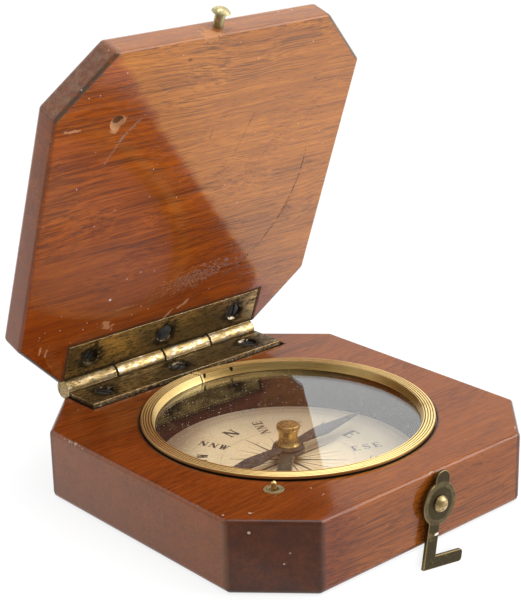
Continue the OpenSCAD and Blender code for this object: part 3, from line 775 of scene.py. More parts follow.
def make_brass_group():
    """Aged brass: patches of tarnish, dark dirt, brighter wear and specks; lengths in millimetres"""
    given, out = start_group(
        "aged_brass",
        [("Vector", "vector", None), ("Bright", "colour", (0.8, 0.55, 0.2, 1)),
         ("Dull", "colour", (0.45, 0.33, 0.15, 1)), ("Dark", "colour", (0.06, 0.04, 0.02, 1)),
         ("Tarnish", "value", 0.5), ("Dirt", "value", 0.3), ("Wear", "value", 0.0),
         ("Patch Size", "value", 1.0)],
        [("Color", "colour"), ("Roughness", "value"), ("Height", "value")],
    )
    place = given["Vector"]
    size = over(0.30, given["Patch Size"])
    broad = cloud(place, size, 4.0, 0.65)
    fine = cloud(place, 1.7, 4.0, 0.7)
    specks = cloud(place, 4.5, 2.0, 0.6)
    mixed = times_plus(fine, 0.4, times(broad, 0.6))
    threshold = minus(0.72, times(given["Tarnish"], 0.44))
    tarnish = ease(mixed, minus(threshold, 0.08), plus(threshold, 0.08))
    worn = minus(tarnish, times(given["Wear"], 1.1), clamp=True)
    colour = blend(worn, given["Bright"], given["Dull"])
    dirty = times_plus(specks, 0.45, times(fine, 0.55))
    limit = minus(0.74, times(given["Dirt"], 0.34))
    dirt = ease(dirty, minus(limit, 0.05), plus(limit, 0.07))
    dirt = minus(dirt, times(given["Wear"], 0.8), clamp=True)
    colour = blend(dirt, colour, given["Dark"])
    rough = times_plus(worn, 0.20, 0.24)
    rough = times_plus(dirt, 0.25, rough)
    rough = times_plus(fine, 0.10, rough, clamp=True)
    height = times_plus(specks, 0.5, times(dirt, 0.5))
    fill(out, Color=colour, Roughness=rough, Height=height)


def make_hinge_group():
    """Wear of a hinge: dirt at the screws and the gaps, darkening at the barrel's foot, bright rims, barrel
    and edge, and painted white highlights on the bright parts
    """
    given, out = start_group(
        "hinge_wear_and_sparkle",
        [("Vector", "vector", None), ("Pitch", "value", 21.0), ("Row", "value", 36.0),
         ("Hole", "value", 2.0), ("Axis Y", "value", 43.0), ("Axis Z", "value", 16.7),
         ("Barrel", "value", 2.2),
         ("Knuckle", "value", 16.0), ("Front", "value", 31.5)],
        [("Dirt", "value"), ("Rubbed", "value"), ("White", "value")],
    )
    place = given["Vector"]
    along_x, along_y, along_z = axes(place)
    aside = maths("ABSOLUTE", along_x)
    beside = maths("ABSOLUTE", minus(aside, given["Pitch"]))
    beside = least(aside, beside)
    across = minus(along_y, given["Row"])
    around = length_of(combine(beside, across, 0.0))
    coarse = cloud(place, 0.8, 3.0)
    flecks = cloud(place, 2.4, 3.0, 0.7)
    dirt = ease(times_plus(coarse, 5.0, around), 7.0, 4.8)
    axis = combine(0.0, minus(along_y, given["Axis Y"]), minus(along_z, given["Axis Z"]))
    reach = minus(length_of(axis), given["Barrel"])
    barrel = ease(reach, 0.16, 0.06)
    foot = times(ease(reach, 1.5, 0.3), minus(1.0, barrel))
    gap = maths("ABSOLUTE", minus(aside, given["Knuckle"]))
    gap = least(aside, gap)
    gap = times(ease(gap, 0.42, 0.16), barrel)
    dirt = most(most(dirt, times(foot, 0.9)), gap)
    specks = times(ease(flecks, 0.62, 0.70), 0.7)
    streaks = cloud(scaled(place, (0.10, 1.7, 1.7)), 1.0, 4.0, 0.7)
    rubbed = times(ease(streaks, 0.42, 0.62, 0.35, 0.95), barrel)
    grimy = ease(plus(along_x, given["Knuckle"]), -1.5, 0.5, 0.45, 1.0)
    rubbed = times(rubbed, grimy)
    front = ease(minus(along_y, given["Front"]), 0.10, 0.03)
    rim = maths("ABSOLUTE", minus(around, plus(given["Hole"], 0.15)))
    rim = times(ease(rim, 0.30, 0.12), ease(coarse, 0.52, 0.64, 0.0, 0.8))
    bright = times(front, ease(flecks, 0.40, 0.56))
    bright = most(rim, most(bright, rubbed))
    bright = minus(bright, most(gap, specks), clamp=True)
    # Painted highlight: white flecks on the bright parts stand for glints
    white = ease(times_plus(flecks, 0.4, coarse), 0.70, 0.80)
    white = times(white, bright)
    fill(out, Dirt=dirt, Rubbed=bright, White=white)


def make_seam_group():
    """Painted shade: dark line along the front edge and the ends of a leaf's recess, where the gap lies in
    shade
    """
    given, out = start_group(
        "recess_shade",
        [("Vector", "vector", None), ("Half Length", "value", 31.0), ("Front", "value", 31.5)],
        [("Mask", "value")],
    )
    along_x, along_y, _ = axes(given["Vector"])
    beyond = minus(maths("ABSOLUTE", along_x), given["Half Length"])
    before = minus(given["Front"], along_y)
    outside = most(beyond, before)
    ragged = times_plus(cloud(given["Vector"], 1.3, 3.0), 0.5, outside)
    fill(out, Mask=ease(ragged, 1.25, 0.95))


def make_steel_group():
    """Dull steel: darker patches, a little rust and fine pits; lengths in millimetres"""
    given, out = start_group(
        "dull_steel",
        [("Vector", "vector", None), ("Steel", "colour", (0.3, 0.3, 0.3, 1)), ("Rust", "value", 0.3),
         ("Gloss", "value", 0.3)],
        [("Color", "colour"), ("Roughness", "value"), ("Height", "value")],
    )
    broad = cloud(given["Vector"], 0.8, 4.0, 0.65)
    fine = cloud(given["Vector"], 4.0, 3.0, 0.6)
    shadow = scaled(given["Steel"], (0.35, 0.35, 0.32))
    tone = blend(ease(broad, 0.40, 0.62), given["Steel"], shadow)
    mixed = times_plus(fine, 0.5, times(broad, 0.5))
    rusty = times(ease(mixed, 0.52, 0.66), given["Rust"])
    tone = blend(rusty, tone, (0.12, 0.055, 0.028))
    fill(out, Color=tone, Roughness=times_plus(broad, 0.3, given["Gloss"]), Height=fine)


def make_side_group():
    """Level that grows from the camera's side towards the back and the right"""
    given, out = start_group(
        "bright_side",
        [("Vector", "vector", None), ("Toward", "vector", (1.0, 0.0, 0.0)), ("Low", "value", 0.0),
         ("High", "value", 1.0), ("From", "value", 0.0), ("To", "value", 1.0)],
        [("Level", "value")],
    )
    toward = vector_maths("DOT_PRODUCT", given["Vector"], given["Toward"])
    fill(out, Level=ease(toward, given["Low"], given["High"], given["From"], given["To"]))


# Materials

def start_material(name):
    material = bpy.data.materials.new(name)
    material.use_nodes = True
    tree = material.node_tree
    tree.nodes.clear()
    output = put(tree, "ShaderNodeOutputMaterial")
    shader = put(tree, "ShaderNodeBsdfPrincipled")
    fill(output.inputs, Surface=shader.outputs[0])
    return material, tree, shader


def place_in_mm(tree):
    where = put(tree, "ShaderNodeTexCoord").outputs["Object"]
    return scaled(where, (1 / MM, 1 / MM, 1 / MM))


def place_in_shut_lid(tree):
    """Object coordinates in millimetres, turned as if the lid were shut"""
    turn = put(tree, "ShaderNodeMapping", vector_type="POINT")
    fill(turn.inputs, Vector=put(tree, "ShaderNodeTexCoord").outputs["Object"],
         Location=SWING_SHUT.to_translation(), Rotation=SWING_SHUT.to_euler())
    return scaled(turn.outputs[0], (1 / MM, 1 / MM, 1 / MM))


def bump(shader, height, depth, strength=1.0, normal="Normal"):
    """Feeds a height into one of the shader's normals; depth in millimetres"""
    node = put(shader.id_data, "ShaderNodeBump")
    fill(node.inputs, Height=height, Distance=depth * MM, Strength=strength)
    feed(shader.inputs[normal], node.outputs[0])


def varnish(shader, colour, rough, gloss, height):
    """Clear rippled varnish whose gloss is the only one, so that the wood under it stays deep"""
    fill(shader.inputs, Base_Color=colour, Roughness=rough, Coat_Weight=gloss,
         Specular_IOR_Level=0.0, Coat_Roughness=0.08, Coat_IOR=1.5)
    bump(shader, height, 0.06)
    bump(shader, height, 0.02, normal="Coat Normal")


def mix_in(shader, other, share):
    """Mixes another shader into the material's own"""
    tree = shader.id_data
    mix = put(tree, "ShaderNodeMixShader")
    for socket, value in zip(mix.inputs, (share, shader.outputs[0], other.outputs[0])):
        feed(socket, value)
    output = next(node for node in tree.nodes if node.bl_idname == "ShaderNodeOutputMaterial")
    fill(output.inputs, Surface=mix.outputs[0])


def away_from_bowl(place):
    """Vector in the plan from the bowl's axis"""
    return scaled(vector_maths("SUBTRACT", place, (0.0, BOWL_Y / MM, 0.0)), (1.0, 1.0, 0.0))


def painted_sheen_across(place, toward, low, high):
    """Share of painted sheen, paler wood that stands for reflected light, growing along a direction of the
    plan, with a wavering edge
    """
    waver = cloud(scaled(place, (0.05, 0.3, 0.3)), 1.0, 3.0, 0.6)
    along = vector_maths("DOT_PRODUCT", place, toward)
    return ease(times_plus(waver, 5.0, along), low + 2.5, high + 2.5)


def spots(place, fray, places):
    """Strongest of several worn spots, each given as (centre, radii, turn, raggedness)"""
    mask = None
    for centre, radii, turn, ragged in places:
        edge = times(fray, ragged)
        spot = use("worn_spot", Vector=place, Centre=centre, Radii=radii, Turn=turn, Fray=edge)["Mask"]
        mask = spot if mask is None else most(mask, spot)
    return mask


def case_edge(place, low, high):
    """Distances from the edges of the base or the lid"""
    return use("octagon_edge", Vector=place, Half_Width=CASE_HIGH.x / MM, Half_Depth=CASE_HIGH.y / MM,
               Cut=sizes().corner_cut / MM, Low=low, High=high)


def leaf_gap_shade(place):
    """Painted shade: dark line around the recess of a hinge leaf"""
    return use("recess_shade", Vector=place, Half_Length=LEAF_HIGH.x / MM, Front=LEAF_LOW.y / MM)["Mask"]


def fraying(place):
    """Noise that makes the edges of worn spots ragged"""
    return times_plus(cloud(place, 1.1, 3.0), 4.0, -2.0)


def roughened(place, patch, damage):
    """Uneven roughness, higher where the varnish is damaged"""
    return times_plus(damage, 0.3, times_plus(cloud(place, patch, 3.0), 0.2, 0.30), clamp=True)


def base_dirt_and_painted_light(place, colour, top):
    """Black in the bowl, dark seams, painted shade along the leaf's recess, darker towards the foot, a
    painted lighter left side, and grime
    """
    along_x, _, along_z = axes(place)
    radius = length_of(away_from_bowl(place))
    inside = ease(radius, 29.35, 29.2)
    colour = blend(times(inside, 0.93), colour, (0.026, 0.020, 0.016))
    ring = (BEZEL_HIGH.x - BEZEL_LOW.x) / 2 / MM
    # Painted shade in the gap around the hinge leaf
    leaf = times(leaf_gap_shade(place), ease(along_z, top - 2.6, top - 2.2))
    seam = times(ease(radius, ring + 1.0, ring + 0.3), 0.85)
    colour = blend(most(seam, leaf), colour, (0.020, 0.012, 0.008))
    foot = times(ease(along_z, 1.6, 0.2), 0.45)
    colour = blend(foot, colour, (0.05, 0.022, 0.012))
    # Painted light: the left side made lighter, as if it caught more light
    left = ease(along_x, -40.7, -41.2, 0.0, 0.16)
    colour = blend(left, colour, (0.42, 0.20, 0.07))
    grime = ease(cloud(place, 0.9, 4.0, 0.7), 0.58, 0.72, 0.0, 0.40)
    return blend(grime, colour, (0.06, 0.026, 0.014)), most(inside, leaf)


def base_damage(place, colour, top):
    """Edges and corners worn to bare wood, and small chips"""
    worn = spots(place, fraying(place), (
        ((-41.3, 20.0, top), (0.5, 3.8, 0.6), 0.0, 0.7), ((-41.3, 13.6, top), (0.4, 1.0, 0.5), 0.0, 0.6),
        ((-35.8, -29.5, top), (0.35, 0.45, 1.0), 0.3, 0.3),
        ((-40.0, -26.6, top), (0.5, 0.3, 1.0), 0.5, 0.3),
        ((-38.1, -31.7, 13.3), (0.38, 0.38, 0.38), 0.0, 0.1),
        ((-33.5, -36.3, 6.8), (0.3, 0.3, 0.25), 0.0, 0.2),
        ((2.1, -41.0, top), (2.2, 0.25, 0.4), 0.0, 0.6), ((-9.0, -41.1, top), (1.6, 0.22, 0.4), 0.0, 0.7),
        ((-20.6, -33.4, top), (0.6, 0.12, 1.0), 0.2, 0.4), ((30.0, -38.6, top), (1.0, 0.14, 1.0), 0.6, 0.4),
    ))
    colour = blend(times(worn, 0.7), colour, (0.60, 0.46, 0.35))
    chips = ease(cells(place, 0.32), 0.085, 0.05)
    chips = times(chips, ease(cloud(place, 0.11, 2.0), 0.50, 0.62))
    return blend(times(chips, 0.7), colour, (0.55, 0.42, 0.30)), most(worn, chips)


def base_wood():
    """Varnished mahogany of the base"""
    ink = colours()
    material, tree, shader = start_material("base_mahogany")
    place = place_in_mm(tree)
    top = CASE_HIGH.z / MM
    # The base grows paler towards the front right as a painted reflection
    grain = use("mahogany_grain", Vector=place, Pale=ink.base_pale, Deep=ink.base_deep,
                Bleached=ink.base_painted_sheen, Fade=painted_sheen_across(place, (0.93, -0.37, 0.0), -9.0, 2.0),
                Pore=ink.pore, Pores=0.9)
    edge = case_edge(place, 0.0, top)
    rub = use("edge_rub", Vector=place, Distance=edge["Distance"], Reach=0.5, Amount=0.35)["Mask"]
    mottle = cloud(place, 0.35, 4.0, 0.65)
    corner = times(edge["Corner Face"], ease(mottle, 0.35, 0.65, 0.85, 0.60))
    colour = blend(corner, grain["Color"], (0.045, 0.016, 0.008))
    colour = blend(rub, colour, (0.50, 0.34, 0.24))
    colour, bowl_and_leaf_shade = base_dirt_and_painted_light(place, colour, top)
    colour, bare = base_damage(place, colour, top)
    damage = most(rub, bare)
    gloss = ease(axes(place)[2], top - 0.25, top - 0.02, 0.80, 0.48)
    gloss = minus(gloss, most(times(damage, 0.6), bowl_and_leaf_shade), clamp=True)
    height = times_plus(cloud(place, 0.09, 2.0), 3.0, times(grain["Height"], 0.5))
    height = minus(height, times(damage, 1.5))
    varnish(shader, colour, roughened(place, 0.5, damage), gloss, height)
    return material


def lid_edges(place, timber, edge, shut):
    """Grey corner faces with a dark ridge, a rubbed front face and a darker left face"""
    along_x, along_y, along_z = axes(place)
    mottle = cloud(place, 0.55, 4.0, 0.7)
    colour = blend(ease(mottle, 0.40, 0.62, 0.0, 0.6), (0.11, 0.044, 0.020), (0.21, 0.160, 0.105))
    colour = blend(times(edge["Corner Face"], 0.66), timber, colour)
    ridge = times(ease(along_z, shut + 1.2, shut + 0.4), edge["Corner Face"])
    ridge = times(ridge, ease(mottle, 0.36, 0.50))
    colour = blend(times(ridge, 0.7), colour, (0.045, 0.042, 0.032))
    front = times(ease(along_y, -40.6, -41.1), ease(mottle, 0.30, 0.60, 0.35, 0.75))
    colour = blend(front, colour, (0.27, 0.10, 0.045))
    side = times(ease(along_x, -40.6, -41.1), ease(mottle, 0.35, 0.62, 0.85, 0.50))
    return blend(side, colour, (0.17, 0.056, 0.022))


def lid_hollow(place, colour, fray, shut, inner):
    """Pale scrape about the hollow that the plunger has worn, and the dark hollow itself"""
    pit_x, pit_y = PLUNGER_X / MM, PLUNGER_Y / MM
    scrape = spots(place, fray, (((pit_x + 0.1, pit_y + 0.3, shut), (2.6, 1.75, 9.0), -0.85, 0.25),))
    socket = spots(place, fray, (((pit_x + 0.45, pit_y - 0.5, shut), (1.25, 0.9, 9.0), -0.85, 0.25),))
    scrape = times(scrape, inner)
    socket = times(socket, inner)
    colour = blend(times(scrape, 0.62), colour, (0.62, 0.35, 0.18))
    return blend(times(socket, 0.85), colour, (0.09, 0.030, 0.012)), scrape, socket


def lid_scratches(place, colour, fray, shut, inner):
    """Arcs that the bezel has rubbed, dark scratches and painted shade along the seam of the leaf"""
    arcs = []
    for radius, width, turn, spread, y in (
        (30.9, 0.48, -140.0, 0.95, -1.0), (31.4, 0.26, 30.0, 0.78, -4.0), (33.0, 0.12, 36.0, 0.93, -6.5),
    ):
        toward = (math.cos(math.radians(turn)), math.sin(math.radians(turn)), 0.0)
        arcs.append(use("rubbed_arc", Vector=place, Centre=(0.0, y, shut), Radius=radius, Width=width,
                        Direction=toward, Spread=spread)["Mask"])
    pale = times(arcs[0], inner)
    dark = times(most(arcs[1], arcs[2]), inner)
    scratches = spots(place, fray, (
        ((10.6, -15.2, shut), (5.0, 0.14, 1.0), 1.92, 0.8),
        ((0.7, -16.6, shut), (3.4, 0.12, 1.0), 1.69, 0.8),
        ((6.8, -6.8, shut), (4.0, 0.12, 1.0), 2.72, 0.8), ((11.8, -18.9, shut), (2.6, 0.17, 1.0), 2.0, 0.6),
        ((17.5, -8.0, shut), (4.5, 0.10, 1.0), 2.1, 0.8), ((28.5, -25.8, shut), (0.4, 0.3, 1.0), 0.0, 0.2),
        ((29.7, -25.1, shut), (0.35, 0.25, 1.0), 0.0, 0.2),
        ((-9.6, -36.6, shut), (0.6, 0.4, 1.0), 0.2, 0.3),
    ))
    dark = most(dark, times(scratches, 0.6))
    # Painted shade in the gap around the lid's leaf
    dark = most(dark, times(leaf_gap_shade(place), inner))
    colour = blend(times(dark, 0.75), colour, (0.070, 0.040, 0.024))
    return blend(times(pale, 0.75), colour, (0.30, 0.20, 0.14)), most(pale, dark)


def lid_gouges(place, colour, fray, shut, inner):
    """Gouges down to pale wood, and a field of fine hatching near the hinge"""
    gouges = spots(place, fray, (
        ((-18.2, 28.0, shut), (2.2, 1.0, 1.0), 0.5, 0.9), ((-16.4, 32.6, shut), (1.3, 0.5, 1.0), 0.5, 0.6),
        ((-1.2, 30.9, shut), (3.0, 0.35, 1.0), -0.7, 0.6), ((3.6, 28.6, shut), (2.2, 0.4, 1.0), -0.5, 0.6),
        ((-35.7, 29.8, shut), (0.3, 1.7, 1.0), 0.1, 0.6), ((-33.9, 30.6, shut), (0.3, 1.5, 1.0), 0.2, 0.6),
        ((-36.8, -25.2, shut), (2.0, 0.35, 1.0), 0.1, 0.7),
        ((-13.8, 24.6, shut), (3.4, 0.12, 1.0), 0.0, 0.3),
        ((-4.8, -41.2, shut), (2.8, 1.6, 4.0), 0.0, 0.5),
    ))
    colour = blend(times(gouges, 0.62), colour, (0.60, 0.30, 0.15))
    field = spots(place, fray, (((4.2, 21.6, shut), (10.5, 2.8, 1.0), -0.12, 0.9),))
    hatch = cloud(scaled(place, (2.4, 4.2, 1.0)), 1.0, 3.0, 0.75)
    field = times(times(field, inner), ease(hatch, 0.51, 0.62))
    return blend(times(field, 0.45), colour, (0.56, 0.36, 0.24)), most(gouges, field)


def lid_specks(place, colour, fray, edge, shut):
    """Pale specks, one chip and the bare left pillar"""
    along_x, along_y, _ = axes(place)
    specks = ease(cells(place, 0.42), 0.075, 0.04)
    specks = times(specks, ease(cloud(place, 0.13, 2.0), 0.48, 0.58))
    chip = spots(place, fray, (((-18.6, 21.0, shut), (0.38, 0.32, 1.0), 0.0, 0.0),))
    line = times(ease(edge["Pillar"], 0.24, 0.10), ease(along_y, -20.0, -24.0))
    line = times(line, ease(along_x, -36.0, -38.0))
    white = most(times(specks, 0.7), most(chip, line))
    return blend(white, colour, (0.84, 0.76, 0.68)), white


def lid_wood():
    """Varnished mahogany of the lid, worked out as if the lid were shut"""
    ink = colours()
    material, tree, shader = start_material("lid_mahogany")
    place = place_in_shut_lid(tree)
    along_z = axes(place)[2]
    shut = CASE_HIGH.z / MM + sizes().lid_gap / MM
    outer_face = shut + sizes().lid_thickness / MM
    outside = ease(along_z, outer_face - 0.8, outer_face - 0.3)
    # Painted reflection: a paler diagonal zone on the inner face where the varnish would mirror bright
    # surroundings; the outer face takes a fixed paler share
    sheen_share = painted_sheen_across(place, (0.776, -0.631, 0.0), 2.0, 4.4)
    sheen_share = times_plus(outside, minus(0.35, sheen_share), sheen_share)
    other_board = vector_maths("ADD", place, (61.0, 17.0, 40.0))
    grain = use("mahogany_grain", Vector=other_board, Pale=ink.lid_pale, Deep=ink.lid_deep,
                Bleached=ink.lid_sheen_and_pale_wood, Fade=sheen_share, Pore=ink.pore, Pores=1.0)
    redder = ease(vector_maths("DOT_PRODUCT", place, (-0.30, 0.95, 0.0)), 2.0, 34.0, 0.0, 0.5)
    timber = blend(redder, grain["Color"], (0.20, 0.030, 0.003))
    edge = case_edge(place, shut, outer_face)
    rub = use("edge_rub", Vector=place, Distance=edge["Distance"], Reach=0.42, Amount=0.6)["Mask"]
    colour = lid_edges(place, timber, edge, shut)
    colour = blend(rub, colour, (0.60, 0.42, 0.28))
    inner = ease(along_z, shut + 1.1, shut + 0.9)
    fray = fraying(place)
    colour, scrape, socket = lid_hollow(place, colour, fray, shut, inner)
    colour, scratches = lid_scratches(place, colour, fray, shut, inner)
    colour, gouges = lid_gouges(place, colour, fray, shut, inner)
    colour, white = lid_specks(place, colour, fray, edge, shut)
    cuts = most(scratches, gouges)
    damage = most(most(scrape, cuts), most(white, rub))
    waves = cloud(scaled(place, (0.05, 0.14, 0.14)), 1.0, 2.0)
    height = times_plus(waves, 3.0, times(grain["Height"], 0.5))
    height = minus(height, times(cuts, 1.6))
    height = minus(height, times(socket, 4.0))
    varnish(shader, colour, roughened(place, 0.4, damage), times_plus(damage, -0.7, 0.85), height)
    return material


def brass(name, tarnish, dirt, patch, bright=None, dull=None, edge_wear=0.0, extra=None, shut=False,
          depth=0.02, along=1.0):
    """Brass of one fitting; edge_wear brightens the rounded edges that carry the edge attribute

    extra adds the fitting's own marks, shut is for what rides on the lid, and along stretches the pattern
    """
    ink = colours()
    material, tree, shader = start_material(name)
    place = place_in_shut_lid(tree) if shut else place_in_mm(tree)
    wear = None
    if edge_wear:
        worn = put(tree, "ShaderNodeAttribute", attribute_name="edge").outputs["Fac"]
        wear = times(worn, edge_wear)
    drawn = scaled(place, (along, 1.0, 1.0))
    aged = use("aged_brass", Vector=drawn, Bright=bright or ink.bright_brass, Dull=dull or ink.dull_brass,
               Dark=ink.dark_brass, Tarnish=tarnish, Dirt=dirt, Patch_Size=patch, Wear=wear)
    colour, rough, height = aged["Color"], aged["Roughness"], aged["Height"]
    if extra:
        colour, rough = extra(place, colour, rough)
    fill(shader.inputs, Base_Color=colour, Roughness=rough, Metallic=1.0)
    bump(shader, height, depth, 0.8)
    return material


def hinge_dirt_and_sparkle(place, colour, rough):
    """Dirt and rubbing of the hinge leaves, with painted white highlights"""
    size = sizes()
    wear = use("hinge_wear_and_sparkle", Vector=place, Pitch=size.screw_pitch / MM, Row=screw_row_y() / MM,
               Hole=size.screw_head / MM,
               Axis_Y=HINGE.y / MM, Axis_Z=HINGE.z / MM, Barrel=size.barrel_radius / MM,
               Knuckle=(LEAF_HIGH.x - LEAF_LOW.x) / 4 / MM, Front=LEAF_LOW.y / MM)
    colour = blend(times(wear["Dirt"], 0.88), colour, (0.024, 0.018, 0.012))
    colour = blend(times(wear["Rubbed"], 0.85), colour, (0.66, 0.47, 0.21))
    # Painted highlight: near-white flecks
    colour = blend(times(wear["White"], 0.6), colour, (0.88, 0.84, 0.74))
    rough = times_plus(wear["Dirt"], 0.22, rough, clamp=True)
    return colour, times_plus(wear["Rubbed"], -0.14, rough, clamp=True)


def eye_rim(place, colour, rough):
    """Lighter band around the hook's eye, and a painted highlight on its shank"""
    pivot = Vector(JOINTS["hook_swing"]["pos_m"]) / MM
    away = vector_maths("SUBTRACT", place, (pivot.x, 0.0, pivot.z))
    reach = length_of(scaled(away, (1.0, 0.0, 1.0)))
    rim = ease(maths("ABSOLUTE", minus(reach, 4.05)), 0.75, 0.40)
    inner = ease(reach, 3.35, 3.0)
    patchy = ease(cloud(place, 0.9, 3.0, 0.7), 0.32, 0.60, 0.35, 1.0)
    colour = blend(times(inner, 0.45), colour, (0.060, 0.044, 0.022))
    rim = times(times(rim, patchy), 0.5)
    colour = blend(rim, colour, (0.22, 0.165, 0.080))
    # Painted highlight: a bright spot on the shank
    glint_spot = vector_maths("SUBTRACT", place, (SHANK_GLINT[0], 0.0, SHANK_GLINT[1]))
    glint_spot = length_of(scaled(glint_spot, (1.0, 0.0, 2.6)))
    return blend(ease(glint_spot, 0.85, 0.60), colour, (0.85, 0.80, 0.66)), rough


def reed_shadow(place, colour, rough):
    """Turning lines of the bezel, its browned side, dark grooves between the beads, dark foot and dents"""
    along_x, along_y, along_z = axes(place)
    from_bowl = away_from_bowl(place)
    radius = length_of(from_bowl)
    outer = (BEZEL_HIGH.x - BEZEL_LOW.x) / 2 / MM
    inner = outer - sizes().bead_band / MM
    top, wood = BEZEL_HIGH.z / MM, CASE_HIGH.z / MM
    wall = ease(radius, outer - 0.07, outer - 0.02)
    groove = times(ease(along_z, top - 0.04, top - 0.12), ease(radius, inner - 0.15, inner - 0.12))
    groove = minus(groove, wall, clamp=True)
    foot = times(ease(along_z, wood + 0.42, wood + 0.18), wall)
    turn = scaled(vector_maths("NORMALIZE", from_bowl), (2.5, 2.5, 0.0))
    turn = vector_maths("ADD", turn, combine(times(radius, 5.0), 0.0, times(along_z, 5.0)))
    lines = cloud(turn, 1.0, 3.0, 0.7)
    colour = blend(ease(lines, 0.50, 0.68, 0.0, 0.26), colour, (0.36, 0.22, 0.07))
    brown = times(ease(along_x, 0.2, 0.9), ease(along_y, 4.0, 16.0))
    brown = times(brown, ease(lines, 0.30, 0.60, 0.45, 0.85))
    colour = blend(brown, colour, (0.42, 0.25, 0.075))
    colour = blend(times(wall, 0.6), colour, (0.56, 0.37, 0.13))
    dents = spots(place, lines, (
        ((0.9, 27.9, 16.5), (0.55, 0.35, 2.0), 0.3, 0.2), ((7.9, 26.8, 16.5), (0.6, 0.3, 2.0), -0.5, 0.2),
    ))
    dark = most(times(groove, 0.92), most(foot, dents))
    rough = times_plus(lines, 0.08, rough, clamp=True)
    rough = times_plus(dark, 0.4, rough, clamp=True)
    return blend(dark, colour, (0.030, 0.020, 0.010)), rough


def green_bloom(place, colour, rough):
    """Grey-green corrosion on the plunger's bush"""
    bloom = ease(cloud(place, 1.4, 3.0), 0.38, 0.62)
    colour = blend(times(bloom, 0.75), colour, (0.16, 0.17, 0.12))
    return colour, times_plus(bloom, 0.25, rough, clamp=True)


def steel(name, colour, rust, metallic=0.9, gloss=0.30, glints=0.0, shine=0.5):
    """Steel of one piece; glints brighten the rounded edges that carry the edge attribute"""
    material, tree, shader = start_material(name)
    dulled = use("dull_steel", Vector=place_in_mm(tree), Steel=colour, Rust=rust, Gloss=gloss)
    tone, rough = dulled["Color"], dulled["Roughness"]
    if glints:
        worn = put(tree, "ShaderNodeAttribute", attribute_name="edge").outputs["Fac"]
        worn = times(worn, glints)
        tone = blend(worn, tone, (0.80, 0.81, 0.78))
        rough = times_plus(worn, -0.2, rough, clamp=True)
    fill(shader.inputs, Base_Color=tone, Roughness=rough, Metallic=metallic, Specular_IOR_Level=shine)
    bump(shader, dulled["Height"], 0.02, 0.6)
    return material


def paper():
    """Aged card: fibres, foxing, a darker border that is partly painted shade, and painted shade towards
    the back left and the right
    """
    ink = colours()
    material, tree, shader = start_material("aged_paper")
    place = place_in_mm(tree)
    from_bowl = away_from_bowl(place)
    radius = length_of(from_bowl)
    stains = cloud(place, 0.07, 4.0, 0.6)
    fibres = cloud(scaled(place, (1.6, 3.2, 1.6)), 1.0, 3.0, 0.7)
    foxing = ease(cloud(place, 0.45, 3.0, 0.6), 0.66, 0.74)
    colour = blend(ease(stains, 0.40, 0.72, 0.0, 0.5), list(ink.paper), (0.74, 0.55, 0.32))
    colour = blend(ease(fibres, 0.35, 0.75, 0.0, 0.16), colour, (0.56, 0.42, 0.25))
    # Darker border: partly age, partly painted shade from the bowl's wall
    colour = blend(ease(radius, 21.5, 29.0, 0.0, 0.48), colour, (0.38, 0.26, 0.15))
    # Painted shadow of the bowl's wall and the lid towards the back left
    toward = vector_maths("DOT_PRODUCT", from_bowl, (-0.62, 0.78, 0.0))
    toward = times_plus(minus(fibres, 0.5), 8.0, toward)
    colour = blend(ease(toward, 16.5, 27.5, 0.0, 0.78), colour, (0.22, 0.130, 0.075))
    # Painted shade: the right part of the card darker, as if it got less light
    aside = vector_maths("DOT_PRODUCT", from_bowl, (0.95, 0.3, 0.0))
    colour = blend(ease(aside, 0.0, 20.0, 0.0, 0.60), colour, (0.42, 0.37, 0.28))
    colour = blend(times(foxing, 0.4), colour, (0.34, 0.20, 0.10))
    fill(shader.inputs, Base_Color=colour, Roughness=times_plus(fibres, 0.2, 0.68))
    bump(shader, fibres, 0.03, 0.5)
    return material


def printing():
    """Printing ink, uneven as on old paper"""
    material, tree, shader = start_material("dial_ink")
    place = place_in_mm(tree)
    patchy = ease(cloud(place, 2.2, 3.0, 0.7), 0.45, 0.75, 0.0, 0.6)
    fill(shader.inputs, Base_Color=blend(patchy, list(colours().ink), (0.20, 0.15, 0.10)),
         Roughness=times_plus(patchy, 0.2, 0.6))
    return material


def faint_printing():
    """Thin lines that have faded into the paper"""
    material, tree, shader = start_material("dial_faint_ink")
    place = place_in_mm(tree)
    patchy = ease(cloud(place, 1.6, 3.0, 0.7), 0.40, 0.70, 0.0, 0.7)
    fill(shader.inputs, Base_Color=blend(patchy, (0.22, 0.165, 0.11), (0.44, 0.33, 0.21)),
         Roughness=times_plus(patchy, 0.2, 0.65))
    return material


def window_glass():
    """Old flat glass that lets lamplight through to the dial"""
    material, tree, shader = start_material("window_glass")
    place = place_in_mm(tree)
    fill(shader.inputs, Base_Color=(0.97, 0.985, 0.975, 1.0), Transmission_Weight=1.0, IOR=1.52)
    smear = cloud(scaled(place, (0.25, 0.12, 0.2)), 1.0, 4.0, 0.7)
    fill(shader.inputs, Roughness=ease(smear, 0.45, 0.8, 0.0, 0.035))
    bump(shader, cloud(place, 0.05, 1.0), 0.04, 0.5)
    shadow = put(tree, "ShaderNodeLightPath").outputs["Is Shadow Ray"]
    mix_in(shader, put(tree, "ShaderNodeBsdfTransparent"), shadow)
    return material


def dust():
    material, tree, shader = start_material("dust")
    place = place_in_mm(tree)
    tone = blend(cloud(place, 0.5, 2.0), (0.80, 0.76, 0.68), (0.48, 0.42, 0.34))
    fill(shader.inputs, Base_Color=tone, Roughness=0.9)
    return material


def agate():
    material, tree, shader = start_material("agate_jewel")
    place = place_in_mm(tree)
    tone = blend(cloud(place, 1.5, 2.0), (0.32, 0.09, 0.05), (0.16, 0.05, 0.03))
    fill(shader.inputs, Base_Color=tone, Roughness=0.12)
    return material


